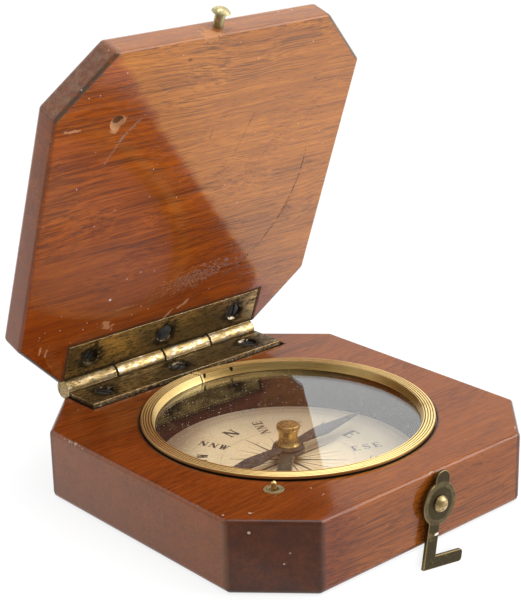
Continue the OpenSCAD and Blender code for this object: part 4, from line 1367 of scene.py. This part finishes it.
def finish(name):
    """The material of that name, made once"""
    found = bpy.data.materials.get(name)
    if found:
        return found
    ink = colours()
    leaf = dict(bright=(0.66, 0.46, 0.18), edge_wear=0.75, extra=hinge_dirt_and_sparkle, depth=0.035, along=0.3)
    makers = {
        "base_mahogany": base_wood,
        "lid_mahogany": lid_wood,
        "ring_brass": lambda: brass(name, 0.20, 0.12, 2.0, bright=(0.98, 0.74, 0.31),
                                    dull=(0.66, 0.45, 0.16),
                                    extra=reed_shadow),
        "cap_brass": lambda: brass(name, 0.50, 0.30, 0.7, bright=(0.68, 0.46, 0.15),
                                   dull=(0.34, 0.21, 0.075)),
        "hinge_lower": lambda: brass(name, 0.66, 0.62, 2.4, dull=(0.24, 0.165, 0.070), **leaf),
        "hinge_upper": lambda: brass(name, 0.62, 0.55, 2.6, dull=(0.24, 0.165, 0.068), shut=True, **leaf),
        "lifter_brass": lambda: brass(name, 0.7, 0.4, 0.8),
        # Hook: darker olive brass, darkened further as painted shade for the dim surroundings it mirrors
        "hook_brass": lambda: brass(name, 0.74, 0.36, 1.3, bright=(0.25, 0.175, 0.075),
                                    dull=(0.055, 0.041, 0.018), edge_wear=0.9, extra=eye_rim, depth=0.04),
        "rivet_brass": lambda: brass(name, 0.62, 0.40, 0.7, bright=(0.72, 0.55, 0.28),
                                     dull=(0.36, 0.26, 0.12),
                                     edge_wear=0.4, depth=0.08),
        "stud_brass": lambda: brass(name, 0.60, 0.30, 0.8, bright=(0.80, 0.66, 0.36),
                                    dull=(0.40, 0.34, 0.18),
                                    edge_wear=0.6),
        "bush_brass": lambda: brass(name, 0.8, 0.4, 0.8, extra=green_bloom),
        "plunger_brass": lambda: brass(name, 0.4, 0.3, 0.6),
        "head_steel": lambda: steel(name, ink.grey_steel, 0.25, metallic=0.30, gloss=0.18),
        "blade_steel": lambda: steel(name, ink.needle_steel, 0.45, metallic=0.0, gloss=0.50, shine=0.2),
        "lifter_steel": lambda: steel(name, (0.075, 0.085, 0.070), 0.20, metallic=0.3, gloss=0.15,
                                      glints=0.85, shine=0.3),
        "agate_jewel": agate,
        "aged_paper": paper,
        "dial_ink": printing,
        "dial_faint_ink": faint_printing,
        "window_glass": window_glass,
        "dust": dust,
    }
    return makers[name]()


def make_groups():
    if "mahogany_grain" not in bpy.data.node_groups:
        make_wood_group()
        make_edge_group()
        make_rub_group()
        make_spot_group()
        make_arc_group()
        make_brass_group()
        make_hinge_group()
        make_seam_group()
        make_steel_group()


# Pieces

def lifter_frame():
    """Matrix with local X from the bowl's centre towards the plunger"""
    angle = math.atan2(PLUNGER_Y - BOWL_Y, PLUNGER_X)
    return Matrix.Translation((0, BOWL_Y, 0)) @ Matrix.Rotation(angle, 4, "Z")


def pit_cutter(name, wall, steps, centre):
    """Cutter for a round pit whose wall is given from its floor up, open above the case"""
    floor, rim = wall[0][1], wall[-1][0]
    return turned(name, [(0, floor), *wall, (rim, ABOVE_CASE), (0, ABOVE_CASE)], steps, centre)


def worn_copy(node, name, width, material, body, slot):
    """Copy of a CAD node with its edges softened, in its finish and in its place"""
    piece = paint(softened(node, name, width), finish(material))
    return seat(piece, body, slot, node)


def build_base():
    """Base block with its bowl, glass ledge, hinge recess and the mortise of the lifter"""
    size = sizes()
    bowl_centre = (0, BOWL_Y)
    block = octagon_block("case_block", 0.0, CASE_HIGH.z, size.corner_cut, size.edge_round, size.foot_round)
    bowl = pit_cutter("bowl_cut", [(size.bowl_radius, CARD_LOW.z)], 160, bowl_centre)
    ledge = pit_cutter("ledge_cut", [(GLASS_HIGH.x + MM, GLASS_LOW.z)], 160, bowl_centre)
    rim_r = (BEZEL_HIGH.x - BEZEL_LOW.x) / 2 + 0.25 * MM
    lead_in = 0.15 * MM
    rim = pit_cutter("rim_cut", [(rim_r, BEZEL_HIGH.z - RING_DEPTH), (rim_r, CASE_HIGH.z - lead_in),
                                 (rim_r + lead_in, CASE_HIGH.z + 0.01 * MM)], 160, bowl_centre)
    recess = box_object("recess_cut", (LEAF_LOW.x - PLAY, LEAF_LOW.y - 2 * PLAY, LEAF_FACE - LEAF_RECESS),
                        (LEAF_HIGH.x + PLAY, BEHIND_CASE, ABOVE_CASE))
    mortise_half = 2.1 * MM
    mortise = box_object("mortise_cut", (28 * MM, -mortise_half, CARD_LOW.z),
                         (38.5 * MM, mortise_half, 8.54 * MM))
    mortise.data.transform(lifter_frame())
    bore, counterbore, shoulder = 1.35 * MM, 2.12 * MM, 15 * MM
    well = pit_cutter("well_cut", [(bore, 8.4 * MM), (bore, shoulder), (counterbore, shoulder)], 48,
                      (PLUNGER_X, PLUNGER_Y))
    carve(block, bowl, ledge, rim, recess, mortise, well)
    paint(shade(block), finish("base_mahogany"))
    return seat(block, "base", "case_wood", "base_case")


def build_lid():
    """Lid board with its leaf recess and the hollow worn by the plunger"""
    size = sizes()
    low = CASE_HIGH.z + size.lid_gap
    board = octagon_block("lid_board", low, low + size.lid_thickness, size.corner_cut,
                          size.edge_round * 1.3, size.edge_round * 0.8)
    recess = box_object("recess_cut", (LEAF_LOW.x - PLAY, LEAF_LOW.y - PLAY, low - 5 * MM),
                        (LEAF_HIGH.x + PLAY, BEHIND_CASE, low + LEAF_RECESS))
    radius, depth = 2.2 * MM, 0.9 * MM
    hollow = turned("hollow_cut", arc_points(0, low + depth - radius, radius, -90, 90, 24), 48,
                    (PLUNGER_X, PLUNGER_Y))
    carve(board, recess, hollow)
    paint(shade(board), finish("lid_mahogany"))
    board.data.transform(SWING_OPEN)
    return seat(board, "lid", "lid_wood", "lid")


def build_hinge():
    """Leaves and pin of the hinge with worn edges"""
    width = sizes().metal_round
    worn_copy("base_hinge_leaf", "hinge_leaf_lower", width, "hinge_lower", "base", "hinge_brass")
    worn_copy("lid_hinge_leaf", "hinge_leaf_upper", width, "hinge_upper", "lid", "hinge_brass")
    worn_copy("hinge_pin", "hinge_pin_worn", width, "hinge_lower", "base", "hinge_brass")


def screw_row_y():
    """Middle of a leaf between its front edge and the barrel"""
    return (LEAF_LOW.y + HINGE.y - sizes().barrel_radius) / 2


def screw_object(head):
    """Countersunk slotted screw with a slightly domed head of that radius, top at the origin"""
    shank = 0.95 * MM
    profile = [(0, 0.0), (head * 0.5, -0.02 * MM), (head * 0.86, -0.08 * MM), (head, -0.2 * MM),
               (shank, -0.2 * MM - (head - shank)), (shank, -4.5 * MM), (0, -5.0 * MM)]
    screw = turned("screw", profile, 32)
    slot = box_object("slot_cut", (-head * 1.1, -0.24 * MM, -0.55 * MM), (head * 1.1, 0.24 * MM, MM))
    carve(screw, slot)
    return shade(screw, 30)


def button_object():
    """Plain domed head that fills its countersink, top at the origin"""
    rim = sizes().screw_head * 1.14
    shank = 0.95 * MM
    crown = 0.34 * MM
    curve = (rim * rim + crown * crown) / (2 * crown)
    spread = math.degrees(math.asin(rim / curve))
    dome = arc_points(0, -curve, curve, 90, 90 - spread, 8)
    stem = [(shank, -crown - (rim - shank)), (shank, -4.5 * MM), (0, -5.0 * MM)]
    button = turned("button", dome + stem, 40)
    return shade(button, 30)


def build_screws():
    """Rows of screws in the hinge leaves; the lid's middle one has a plain domed head"""
    size = sizes()
    tree = screw_row_tree()
    screw = screw_object(size.screw_head)
    deep_screw = screw_object(size.screw_head * 0.72)
    button = button_object()
    row_y = screw_row_y()
    sunk = LEAF_FACE - 0.35 * MM
    mirror = Matrix.Translation((0, 0, 2 * HINGE.z)) @ Matrix.Scale(-1, 4, (0, 0, 1))
    for name, source, body, nodes, count, first, top, seed in (
        ("screws_lower", screw, "base", ["base_leaf_screws"], 3, -size.screw_pitch, sunk, 4),
        ("screws_upper", screw, "lid", ["lid_leaf_screws"], 1, size.screw_pitch, sunk, 9),
        ("screw_deep", deep_screw, "lid", [], 1, -size.screw_pitch, sunk - 0.5 * MM, 6),
        ("screw_button", button, "lid", [], 1, 0.0, LEAF_FACE + 0.05 * MM, 2),
    ):
        row = grow(name, tree, Screw=source, Count=count, Pitch=size.screw_pitch, First=(first, row_y, top),
                   Seed=seed, Material=finish("head_steel"))
        if body == "lid":
            row.data.transform(SWING_OPEN @ mirror)
            row.data.flip_normals()
        seat(row, body, "screw_steel", *nodes)
    for source in (screw, deep_screw, button):
        bpy.data.objects.remove(source)


def build_bezel():
    """Split ring with a reeded band, a sloping lip and a skirt"""
    outer = (BEZEL_HIGH.x - BEZEL_LOW.x) / 2
    top = BEZEL_HIGH.z
    count = sizes().bead_count
    pitch = sizes().bead_band / count
    rise = 0.23 * MM
    bead_r = (pitch * pitch / 4 + rise * rise) / (2 * rise)
    half = math.degrees(math.asin(pitch / 2 / bead_r))
    inner_skirt = GLASS_HIGH.x + 0.2 * MM
    outer_skirt = inner_skirt + 0.7 * MM
    lip = sizes().bowl_radius - 0.55 * MM
    profile = [(lip, GLASS_HIGH.z + 0.02 * MM), (inner_skirt, GLASS_HIGH.z + 0.02 * MM),
               (inner_skirt, BEZEL_LOW.z), (outer_skirt, BEZEL_LOW.z), (outer_skirt, top - RING_DEPTH),
               (outer, top - RING_DEPTH)]
    for i in range(count):
        bead = arc_points(outer - (i + 0.5) * pitch, top - bead_r, bead_r, 90 - half, 90 + half, 8)
        profile += bead if i == count - 1 else bead[:-1]
    band_end = outer - sizes().bead_band
    profile += [(band_end - 0.08 * MM, top - 0.24 * MM), (band_end - 0.16 * MM, top - 0.05 * MM),
                (band_end - 0.30 * MM, top - 0.03 * MM), (lip + 0.08 * MM, GLASS_HIGH.z + 0.29 * MM),
                (lip, GLASS_HIGH.z + 0.20 * MM)]
    gap = 0.36 * MM / outer
    bm = bmesh.new()
    add_lathe(bm, profile, 240, (0, BOWL_Y), math.pi / 2 + gap / 2, TAU - gap)
    slant = math.tan(math.radians(22))
    slant_reach = 0.12
    for vert in bm.verts:
        x, y = vert.co.x, vert.co.y - BOWL_Y
        reach = math.hypot(x, y)
        near = max(0.0, 1.0 - abs(math.atan2(x, y)) / slant_reach)
        vert.co.x -= near * (reach - lip) * slant
    ring = paint(shade(object_from("reeded_bezel", bm), 25), finish("ring_brass"))
    return seat(ring, "base", "bezel_brass", "bezel_ring")


def build_glass():
    """Flat glass with a ground edge, and dust on it"""
    radius = GLASS_HIGH.x
    edge = 0.12 * MM
    low, high = GLASS_LOW.z, GLASS_HIGH.z
    pane = turned("glass_pane", [(0, low), (radius - edge, low), (radius, low + edge),
                                 (radius, high - edge), (radius - edge, high), (0, high)], 160, (0, BOWL_Y))
    paint(shade(pane, 30), finish("window_glass"))
    seat(pane, "base", "glass", "glass")
    specks = grow("glass_dust", dust_tree(), Count=sizes().dust_count, Radius=radius - 1.3 * MM,
                  Speck=0.115 * MM, Centre=(0, BOWL_Y, high + 0.01 * MM), Seed=5, Material=finish("dust"))
    return seat(specks, "base", "dial_paper")


def ray_object(length, width, start=0.0):
    """Flat tapered ray along X, as wide as it gets near its foot"""
    bm = bmesh.new()
    foot = start + (length - start) * 0.12
    outline = [(start, -width * 0.2), (foot, -width / 2), (length, -0.02 * MM), (length, 0.02 * MM),
               (foot, width / 2), (start, width * 0.2)]
    add_slab(bm, outline, -0.01 * MM, 0.01 * MM)
    return object_from("ray", bm)


def stroke(bm, a, b, thick_a, thick_b):
    """One straight stroke of a letter"""
    a, b = Vector(a), Vector(b)
    side = (b - a).normalized().orthogonal()
    outline = [a - side * thick_a / 2, b - side * thick_b / 2, b + side * thick_b / 2,
               a + side * thick_a / 2]
    area = sum(p.x * q.y - q.x * p.y for p, q in zip(outline, outline[1:] + outline[:1]))
    outline = outline if area > 0 else outline[::-1]
    add_slab(bm, [tuple(p) for p in outline], INK_LOW, INK_HIGH)


def letter_strokes(letter):
    """Strokes of a roman capital in a unit square: (start, end, thickness, thickness)"""
    thin, thick, foot = 0.10, 0.23, 0.08
    if letter == "N":
        return [((0.14, 0), (0.14, 1), thin, thin), ((0.86, 0), (0.86, 1), thin, thin),
                ((0.16, 0.97), (0.84, 0.03), thick, thick), ((0.0, 0.97), (0.28, 0.97), foot, foot),
                ((0.72, 0.97), (1.0, 0.97), foot, foot), ((0.0, 0.03), (0.28, 0.03), foot, foot)]
    if letter == "E":
        return [((0.24, 0), (0.24, 1), thick, thick), ((0.04, 0.965), (0.86, 0.965), thin, thin),
                ((0.04, 0.035), (0.90, 0.035), thin, thin), ((0.24, 0.52), (0.66, 0.52), thin, thin),
                ((0.84, 1.0), (0.84, 0.76), 0.07, 0.03), ((0.88, 0.0), (0.88, 0.26), 0.07, 0.03),
                ((0.66, 0.40), (0.66, 0.64), 0.05, 0.05)]
    if letter == "W":
        return [((0.12, 1), (0.32, 0), thick, thick), ((0.32, 0), (0.52, 0.95), thin, thin),
                ((0.50, 0.97), (0.70, 0), thick, thick), ((0.70, 0), (0.92, 1), thin, thin),
                ((-0.02, 0.97), (0.28, 0.97), foot, foot), ((0.38, 0.97), (0.64, 0.97), foot, foot),
                ((0.78, 0.97), (1.04, 0.97), foot, foot)]
    bends = [(0.80, 0.78), (0.70, 0.92), (0.48, 0.97), (0.26, 0.90), (0.17, 0.74), (0.26, 0.60),
             (0.50, 0.51), (0.74, 0.41), (0.83, 0.25), (0.73, 0.09), (0.50, 0.03), (0.27, 0.08),
             (0.16, 0.24)]
    weights = [0.05, 0.07, 0.08, 0.12, 0.16, 0.19, 0.20, 0.19, 0.16, 0.12, 0.08, 0.07, 0.05]
    curve = [(p, q, s, t) for p, q, s, t in zip(bends, bends[1:], weights, weights[1:])]
    return curve + [((0.82, 1.0), (0.82, 0.72), 0.05, 0.04), ((0.14, 0.0), (0.14, 0.30), 0.05, 0.04)]


def write_label(bm, text, height, angle, reach, along=False):
    """Letters at a direction of the dial: across the radius, or along it when along is true"""
    advance = height * 1.12
    width = height * 0.86
    span = advance * len(text) - (advance - width)
    outward = Vector((math.cos(angle), math.sin(angle)))
    if along:
        right = outward if math.cos(angle) > 0.01 else -outward
    else:
        right = Vector((outward.y, -outward.x))
    up = Vector((-right.y, right.x))
    centre = Vector((0.0, BOWL_Y)) + outward * reach
    for i, letter in enumerate(text):
        corner = centre + right * (i * advance - span / 2) - up * height / 2
        for a, b, thick_a, thick_b in letter_strokes(letter):
            start = corner + right * a[0] * width + up * a[1] * height
            end = corner + right * b[0] * width + up * b[1] * height
            stroke(bm, start, end, thick_a * height, thick_b * height)


def build_card():
    """Round paper card with the hole for the pivot's foot"""
    radius, hole = CARD_HIGH.x, 2.1 * MM
    profile = [(hole, CARD_LOW.z), (radius, CARD_LOW.z), (radius, CARD_HIGH.z), (hole, CARD_HIGH.z)]
    card = turned("paper_dial", profile, 160, (0, BOWL_Y))
    paint(shade(card, 30), finish("aged_paper"))
    return seat(card, "base", "dial_paper", "dial_card")


def build_star():
    """Rays of the star, from the four bold ones to sixteen hair lines, and the marks of the degrees"""
    centre = (0, BOWL_Y, CARD_HIGH.z + 0.004 * MM)
    tree = star_tree()
    for name, count, turn, length, width, material in (
        ("star_cardinal", 4, 0.0, 14.2, 0.80, "dial_ink"),
        ("star_between", 4, TAU / 8, 13.0, 0.76, "dial_ink"),
        ("star_thin", 8, TAU / 16, 12.4, 0.34, "dial_ink"),
        ("star_hair", 16, TAU / 32, 11.0, 0.16, "dial_faint_ink"),
    ):
        ray = ray_object(length * MM, width * MM)
        star = grow(name, tree, Ray=ray, Count=count, Turn=turn, Centre=centre, Material=finish(material))
        bpy.data.objects.remove(ray)
        seat(star, "base", "dial_paper")
    ring = grow("degree_marks", degree_ring_tree(), Count=sizes().degree_count, Radius=27.7 * MM,
                Length=0.75 * MM, Longer=0.9 * MM, Width=0.085 * MM, Depth=0.018 * MM, Centre=centre,
                Material=finish("dial_faint_ink"))
    return seat(ring, "base", "dial_paper")


def build_circles():
    """Printed circles of the dial"""
    bm = bmesh.new()
    for line, width in ((27.75, 0.12), (25.9, 0.09), (25.2, 0.07), (14.6, 0.05)):
        inner, outer = (line - width / 2) * MM, (line + width / 2) * MM
        add_lathe(bm, [(inner, INK_LOW), (outer, INK_LOW), (outer, INK_HIGH), (inner, INK_HIGH)], 144,
                  (0, BOWL_Y))
    circles = paint(object_from("dial_circles", bm), finish("dial_faint_ink"))
    return seat(circles, "base", "dial_paper")


def build_points():
    """Letters of the sixteen compass points, the longest ones along their radius"""
    bm = bmesh.new()
    points = "E ENE NE NNE N NNW NW WNW W WSW SW SSW S SSE SE ESE".split()
    styles = {1: (3.4, 19.0), 2: (2.4, 18.8), 3: (2.25, 18.2)}
    for i, text in enumerate(points):
        height, reach = styles[len(text)]
        write_label(bm, text, height * MM, TAU * i / len(points), reach * MM, along=len(text) == 3)
    lettering = paint(object_from("dial_points", bm), finish("dial_ink"))
    return seat(lettering, "base", "dial_paper")


def cap_profile(foot, top):
    """Spool of the needle's cap: a thin rim, a waist and a rounded crown"""
    reach, waist = CAP_REACH, 2.02 * MM
    low, high = foot + 0.42 * MM, top - 0.9 * MM
    profile = [(0, foot), (reach - 0.06 * MM, foot), (reach, foot + 0.08 * MM), (reach, low - 0.06 * MM)]
    flare = reach - 0.08 * MM
    steps = 12
    for k in range(steps + 1):
        share = k / steps
        bow = 1 - abs(2 * share - 1) ** 2.2
        profile.append((flare - (flare - waist) * bow, low + (high - low) * share))
    crown, corner = reach - 0.14 * MM, 0.24 * MM
    profile += [(crown, high + 0.08 * MM), (crown, top - corner)]
    profile += arc_points(crown - corner, top - corner, corner, 10, 90, 6)
    return profile + [(0, top)]


def build_needle():
    """Needle, its waisted cap with a knurled crown, the jewel and the pivot"""
    worn_copy("needle", "needle_blade", 0.08 * MM, "blade_steel", "needle", "needle_steel")
    top = CAP_HIGH.z
    cap = turned("cap_spool", cap_profile(NEEDLE_HIGH.z, top), 64, (0, BOWL_Y))
    paint(shade(cap), finish("cap_brass"))
    seat(cap, "needle", "bezel_brass", "needle_cap")
    ribs = grow("cap_knurl", knurl_tree(), Count=44, Radius=CAP_REACH - 0.15 * MM, Rib=0.10 * MM,
                Height=0.38 * MM, Centre=(0, BOWL_Y, top - 0.50 * MM), Material=finish("cap_brass"))
    seat(ribs, "needle", "bezel_brass")
    for node, material in (
        ("cap_jewel", "agate_jewel"), ("pivot_post", "cap_brass"), ("pivot_point", "lifter_steel"),
    ):
        paint(frame["nodes"][node], finish(material))


def build_lifter():
    """Lever, bracket, spring, plunger and bush of the needle lifter"""
    worn_copy("lifter_lever", "lever_worn", 0.16 * MM, "lifter_steel", "lever", "lever_steel")
    worn_copy("plunger_bush", "bush_worn", 0.10 * MM, "bush_brass", "base", "hinge_brass")
    worn_copy("lever_bracket", "bracket_worn", 0.06 * MM, "lifter_brass", "base", "hinge_brass")
    worn_copy("bracket_screws", "bracket_screws_worn", 0.05 * MM, "cap_brass", "base", "hinge_brass")
    bow = worn_copy("lifter_spring", "spring_bow", 0.04 * MM, "lifter_brass", "base", "hinge_brass")
    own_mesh(bow)
    for node, material in (("lifter_plunger", "plunger_brass"), ("lever_pin", "lifter_steel")):
        frame["nodes"][node].data.shade_smooth()
        paint(frame["nodes"][node], finish(material))


def build_latch():
    """Hook with its bevelled edges, washer, domed pivot and the lid's stud"""
    worn_copy("hook", "hook_worn", 0.16 * MM, "hook_brass", "hook", "latch_brass")
    worn_copy("hook_washer", "washer_worn", 0.08 * MM, "lifter_brass", "base", "hinge_brass")
    worn_copy("hook_pivot", "hook_rivet", 0.05 * MM, "rivet_brass", "base", "latch_brass")
    worn_copy("lid_stud", "stud_worn", 0.05 * MM, "stud_brass", "lid", "latch_brass")


# Stage

def bright_side(where, toward, low, high, from_level, to_level):
    if "bright_side" not in bpy.data.node_groups:
        make_side_group()
    return use("bright_side", Vector=where, Toward=toward, Low=low, High=high, From=from_level,
               To=to_level)["Level"]


def white_ground():
    """Pale floor: lit by the lamps, and lifted towards white for the eye; in reflections it glows as
    painted light, dim on the camera's side and brighter towards the back and the right
    """
    material, tree, shader = start_material("white_ground")
    fill(shader.inputs, Base_Color=(0.86, 0.86, 0.86), Roughness=0.9, Specular_IOR_Level=0.0)
    path = put(tree, "ShaderNodeLightPath").outputs
    seen, mirrored = path["Is Camera Ray"], path["Is Glossy Ray"]
    place = put(tree, "ShaderNodeTexCoord").outputs["Object"]
    # Painted light: the glow seen in reflections grows towards the back and the right
    toward = (0.85, 0.45, 0.0)
    level = bright_side(place, toward, -0.10, -0.02, 0.20, 1.25)
    level = plus(level, bright_side(place, toward, 0.02, 0.06, 0.0, 0.8))
    glow = put(tree, "ShaderNodeEmission")
    fill(glow.inputs, Strength=times_plus(seen, 1.09, times(mirrored, level)))
    mix_in(shader, glow, times(plus(seen, mirrored), 0.75))
    return material


def area_lamp(name, place, target, size, power):
    data = bpy.data.lights.new(name, "AREA")
    data.shape = "SQUARE"
    data.size = size
    data.energy = power
    lamp = bpy.data.objects.new(name, data)
    bpy.context.scene.collection.objects.link(lamp)
    lamp.location = place
    lamp.rotation_euler = (Vector(target) - Vector(place)).to_track_quat("-Z", "Y").to_euler()
    return lamp


def build_camera():
    """Camera at the photograph's viewing angle, found by solving the case's corners"""
    turn, rise, roll = (math.radians(a) for a in (-41.265, 19.67, -1.197))
    away, shift_x, shift_y = 355.391 * MM, -5.49 * MM, 39.367 * MM
    focal_pixels, image_height, sensor = 1632.7, 600.0, 36.0
    back = Vector((math.sin(turn) * math.cos(rise), -math.cos(turn) * math.cos(rise), math.sin(rise)))
    level = Vector((math.cos(turn), math.sin(turn), 0.0))
    upright = back.cross(level)
    right = level * math.cos(roll) + upright * math.sin(roll)
    up = upright * math.cos(roll) - level * math.sin(roll)
    data = bpy.data.cameras.new("camera")
    data.sensor_fit = "VERTICAL"
    data.sensor_height = sensor
    data.lens = focal_pixels / image_height * sensor
    data.clip_start = 0.01
    data.clip_end = 20.0
    camera = bpy.data.objects.new("camera", data)
    bpy.context.scene.collection.objects.link(camera)
    place = back * away + right * shift_x + up * shift_y
    basis = Matrix((right, up, back)).transposed().to_4x4()
    camera.matrix_world = Matrix.Translation(place) @ basis
    bpy.context.scene.camera = camera


def build_world():
    """White surroundings, darker on the camera's side; full white to the eye"""
    world = bpy.data.worlds.new("studio")
    world.use_nodes = True
    bpy.context.scene.world = world
    tree = world.node_tree
    tree.nodes.clear()
    path = put(tree, "ShaderNodeLightPath")
    sky = put(tree, "ShaderNodeTexCoord").outputs["Generated"]
    toward = (0.62, 0.70, 0.25)
    plain = bright_side(sky, toward, -0.90, 0.50, 0.45, 1.0)
    mirrored = bright_side(sky, toward, -0.45, 0.40, 0.28, 1.35)
    change = times(minus(mirrored, plain), path.outputs["Is Glossy Ray"])
    level = most(plus(plain, change), path.outputs["Is Camera Ray"])
    ground = put(tree, "ShaderNodeBackground")
    fill(ground.inputs, Strength=level)
    output = put(tree, "ShaderNodeOutputWorld")
    fill(output.inputs, Surface=ground.outputs[0])
    fill(ground.inputs, Color=(1.0, 1.0, 1.0, 1.0))


def build_stage():
    """Table with its edge under the latch face, so that the hook hangs clear, with floor, lamps, camera"""
    edge = CASE_LOW.y + 0.05 * MM
    table = box_object("table", (-1.2, edge, -9 * MM), (1.2, 1.6, 0.0))
    ground = box_object("floor", (-3.0, -3.0, -30 * MM), (3.0, 3.0, -9 * MM))
    white = white_ground()
    for piece in (table, ground):
        paint(piece, white)
    area_lamp("key_right", (0.50, -0.45, 0.42), target=(0, 0, 0.03), size=0.50, power=3.0)
    area_lamp("top_soft", (0.05, -0.12, 0.60), target=(0, 0, 0.01), size=0.45, power=1.3)
    build_world()
    build_camera()
    bpy.context.scene.view_settings.view_transform = "Standard"


# Operators and panel

class COMPASS_OT_case(bpy.types.Operator):
    """Builds the wooden base and lid"""

    bl_idname = "compass.case"
    bl_label = "Wooden case"

    def execute(self, context):
        make_groups()
        build_base()
        build_lid()
        return {"FINISHED"}


class COMPASS_OT_hinge(bpy.types.Operator):
    """Builds the hinge leaves, the pin and the rows of screws"""

    bl_idname = "compass.hinge"
    bl_label = "Hinge and screws"

    def execute(self, context):
        make_groups()
        build_hinge()
        build_screws()
        return {"FINISHED"}


class COMPASS_OT_bezel(bpy.types.Operator):
    """Builds the reeded bezel, the glass and its dust"""

    bl_idname = "compass.bezel"
    bl_label = "Bezel and glass"

    def execute(self, context):
        make_groups()
        build_bezel()
        build_glass()
        return {"FINISHED"}


class COMPASS_OT_dial(bpy.types.Operator):
    """Builds the paper dial and its printing"""

    bl_idname = "compass.dial"
    bl_label = "Dial"

    def execute(self, context):
        make_groups()
        build_card()
        build_star()
        build_circles()
        build_points()
        return {"FINISHED"}


class COMPASS_OT_needle(bpy.types.Operator):
    """Builds the needle, its cap and the pivot"""

    bl_idname = "compass.needle"
    bl_label = "Needle and pivot"

    def execute(self, context):
        make_groups()
        build_needle()
        return {"FINISHED"}


class COMPASS_OT_lifter(bpy.types.Operator):
    """Builds the needle lifter and its plunger"""

    bl_idname = "compass.lifter"
    bl_label = "Needle lifter"

    def execute(self, context):
        make_groups()
        build_lifter()
        return {"FINISHED"}


class COMPASS_OT_latch(bpy.types.Operator):
    """Builds the hook, its pivot and the stud"""

    bl_idname = "compass.latch"
    bl_label = "Hook latch"

    def execute(self, context):
        make_groups()
        build_latch()
        return {"FINISHED"}


class COMPASS_OT_stage(bpy.types.Operator):
    """Builds the floor, the lamps, the surroundings and the camera"""

    bl_idname = "compass.stage"
    bl_label = "Stage"

    def execute(self, context):
        build_stage()
        return {"FINISHED"}


class COMPASS_PT_panel(bpy.types.Panel):
    """Sizes, colours and pieces of the compass"""

    bl_idname = "COMPASS_PT_panel"
    bl_label = "Pocket compass"
    bl_space_type = "VIEW_3D"
    bl_region_type = "UI"
    bl_category = "Compass"

    def draw(self, context):
        layout = self.layout
        for group in (context.scene.compass_sizes, context.scene.compass_colours):
            box = layout.box()
            for name in group.__annotations__:
                box.prop(group, name)
        for operator in OPERATORS:
            layout.operator(operator.bl_idname)


OPERATORS = (
    COMPASS_OT_stage, COMPASS_OT_case, COMPASS_OT_hinge, COMPASS_OT_bezel,
    COMPASS_OT_dial, COMPASS_OT_needle, COMPASS_OT_lifter, COMPASS_OT_latch,
)
CLASSES = (CompassSizes, CompassColours, *OPERATORS, COMPASS_PT_panel)


def register():
    for item in CLASSES:
        bpy.utils.register_class(item)
    bpy.types.Scene.compass_sizes = PointerProperty(type=CompassSizes)
    bpy.types.Scene.compass_colours = PointerProperty(type=CompassColours)


def unregister():
    del bpy.types.Scene.compass_colours
    del bpy.types.Scene.compass_sizes
    for item in reversed(CLASSES):
        bpy.utils.unregister_class(item)


def main():
    register()
    bpy.ops.compass.stage()
    bpy.ops.compass.case()
    bpy.ops.compass.hinge()
    bpy.ops.compass.bezel()
    bpy.ops.compass.dial()
    bpy.ops.compass.needle()
    bpy.ops.compass.lifter()
    bpy.ops.compass.latch()


if __name__ == "__main__":
    main()
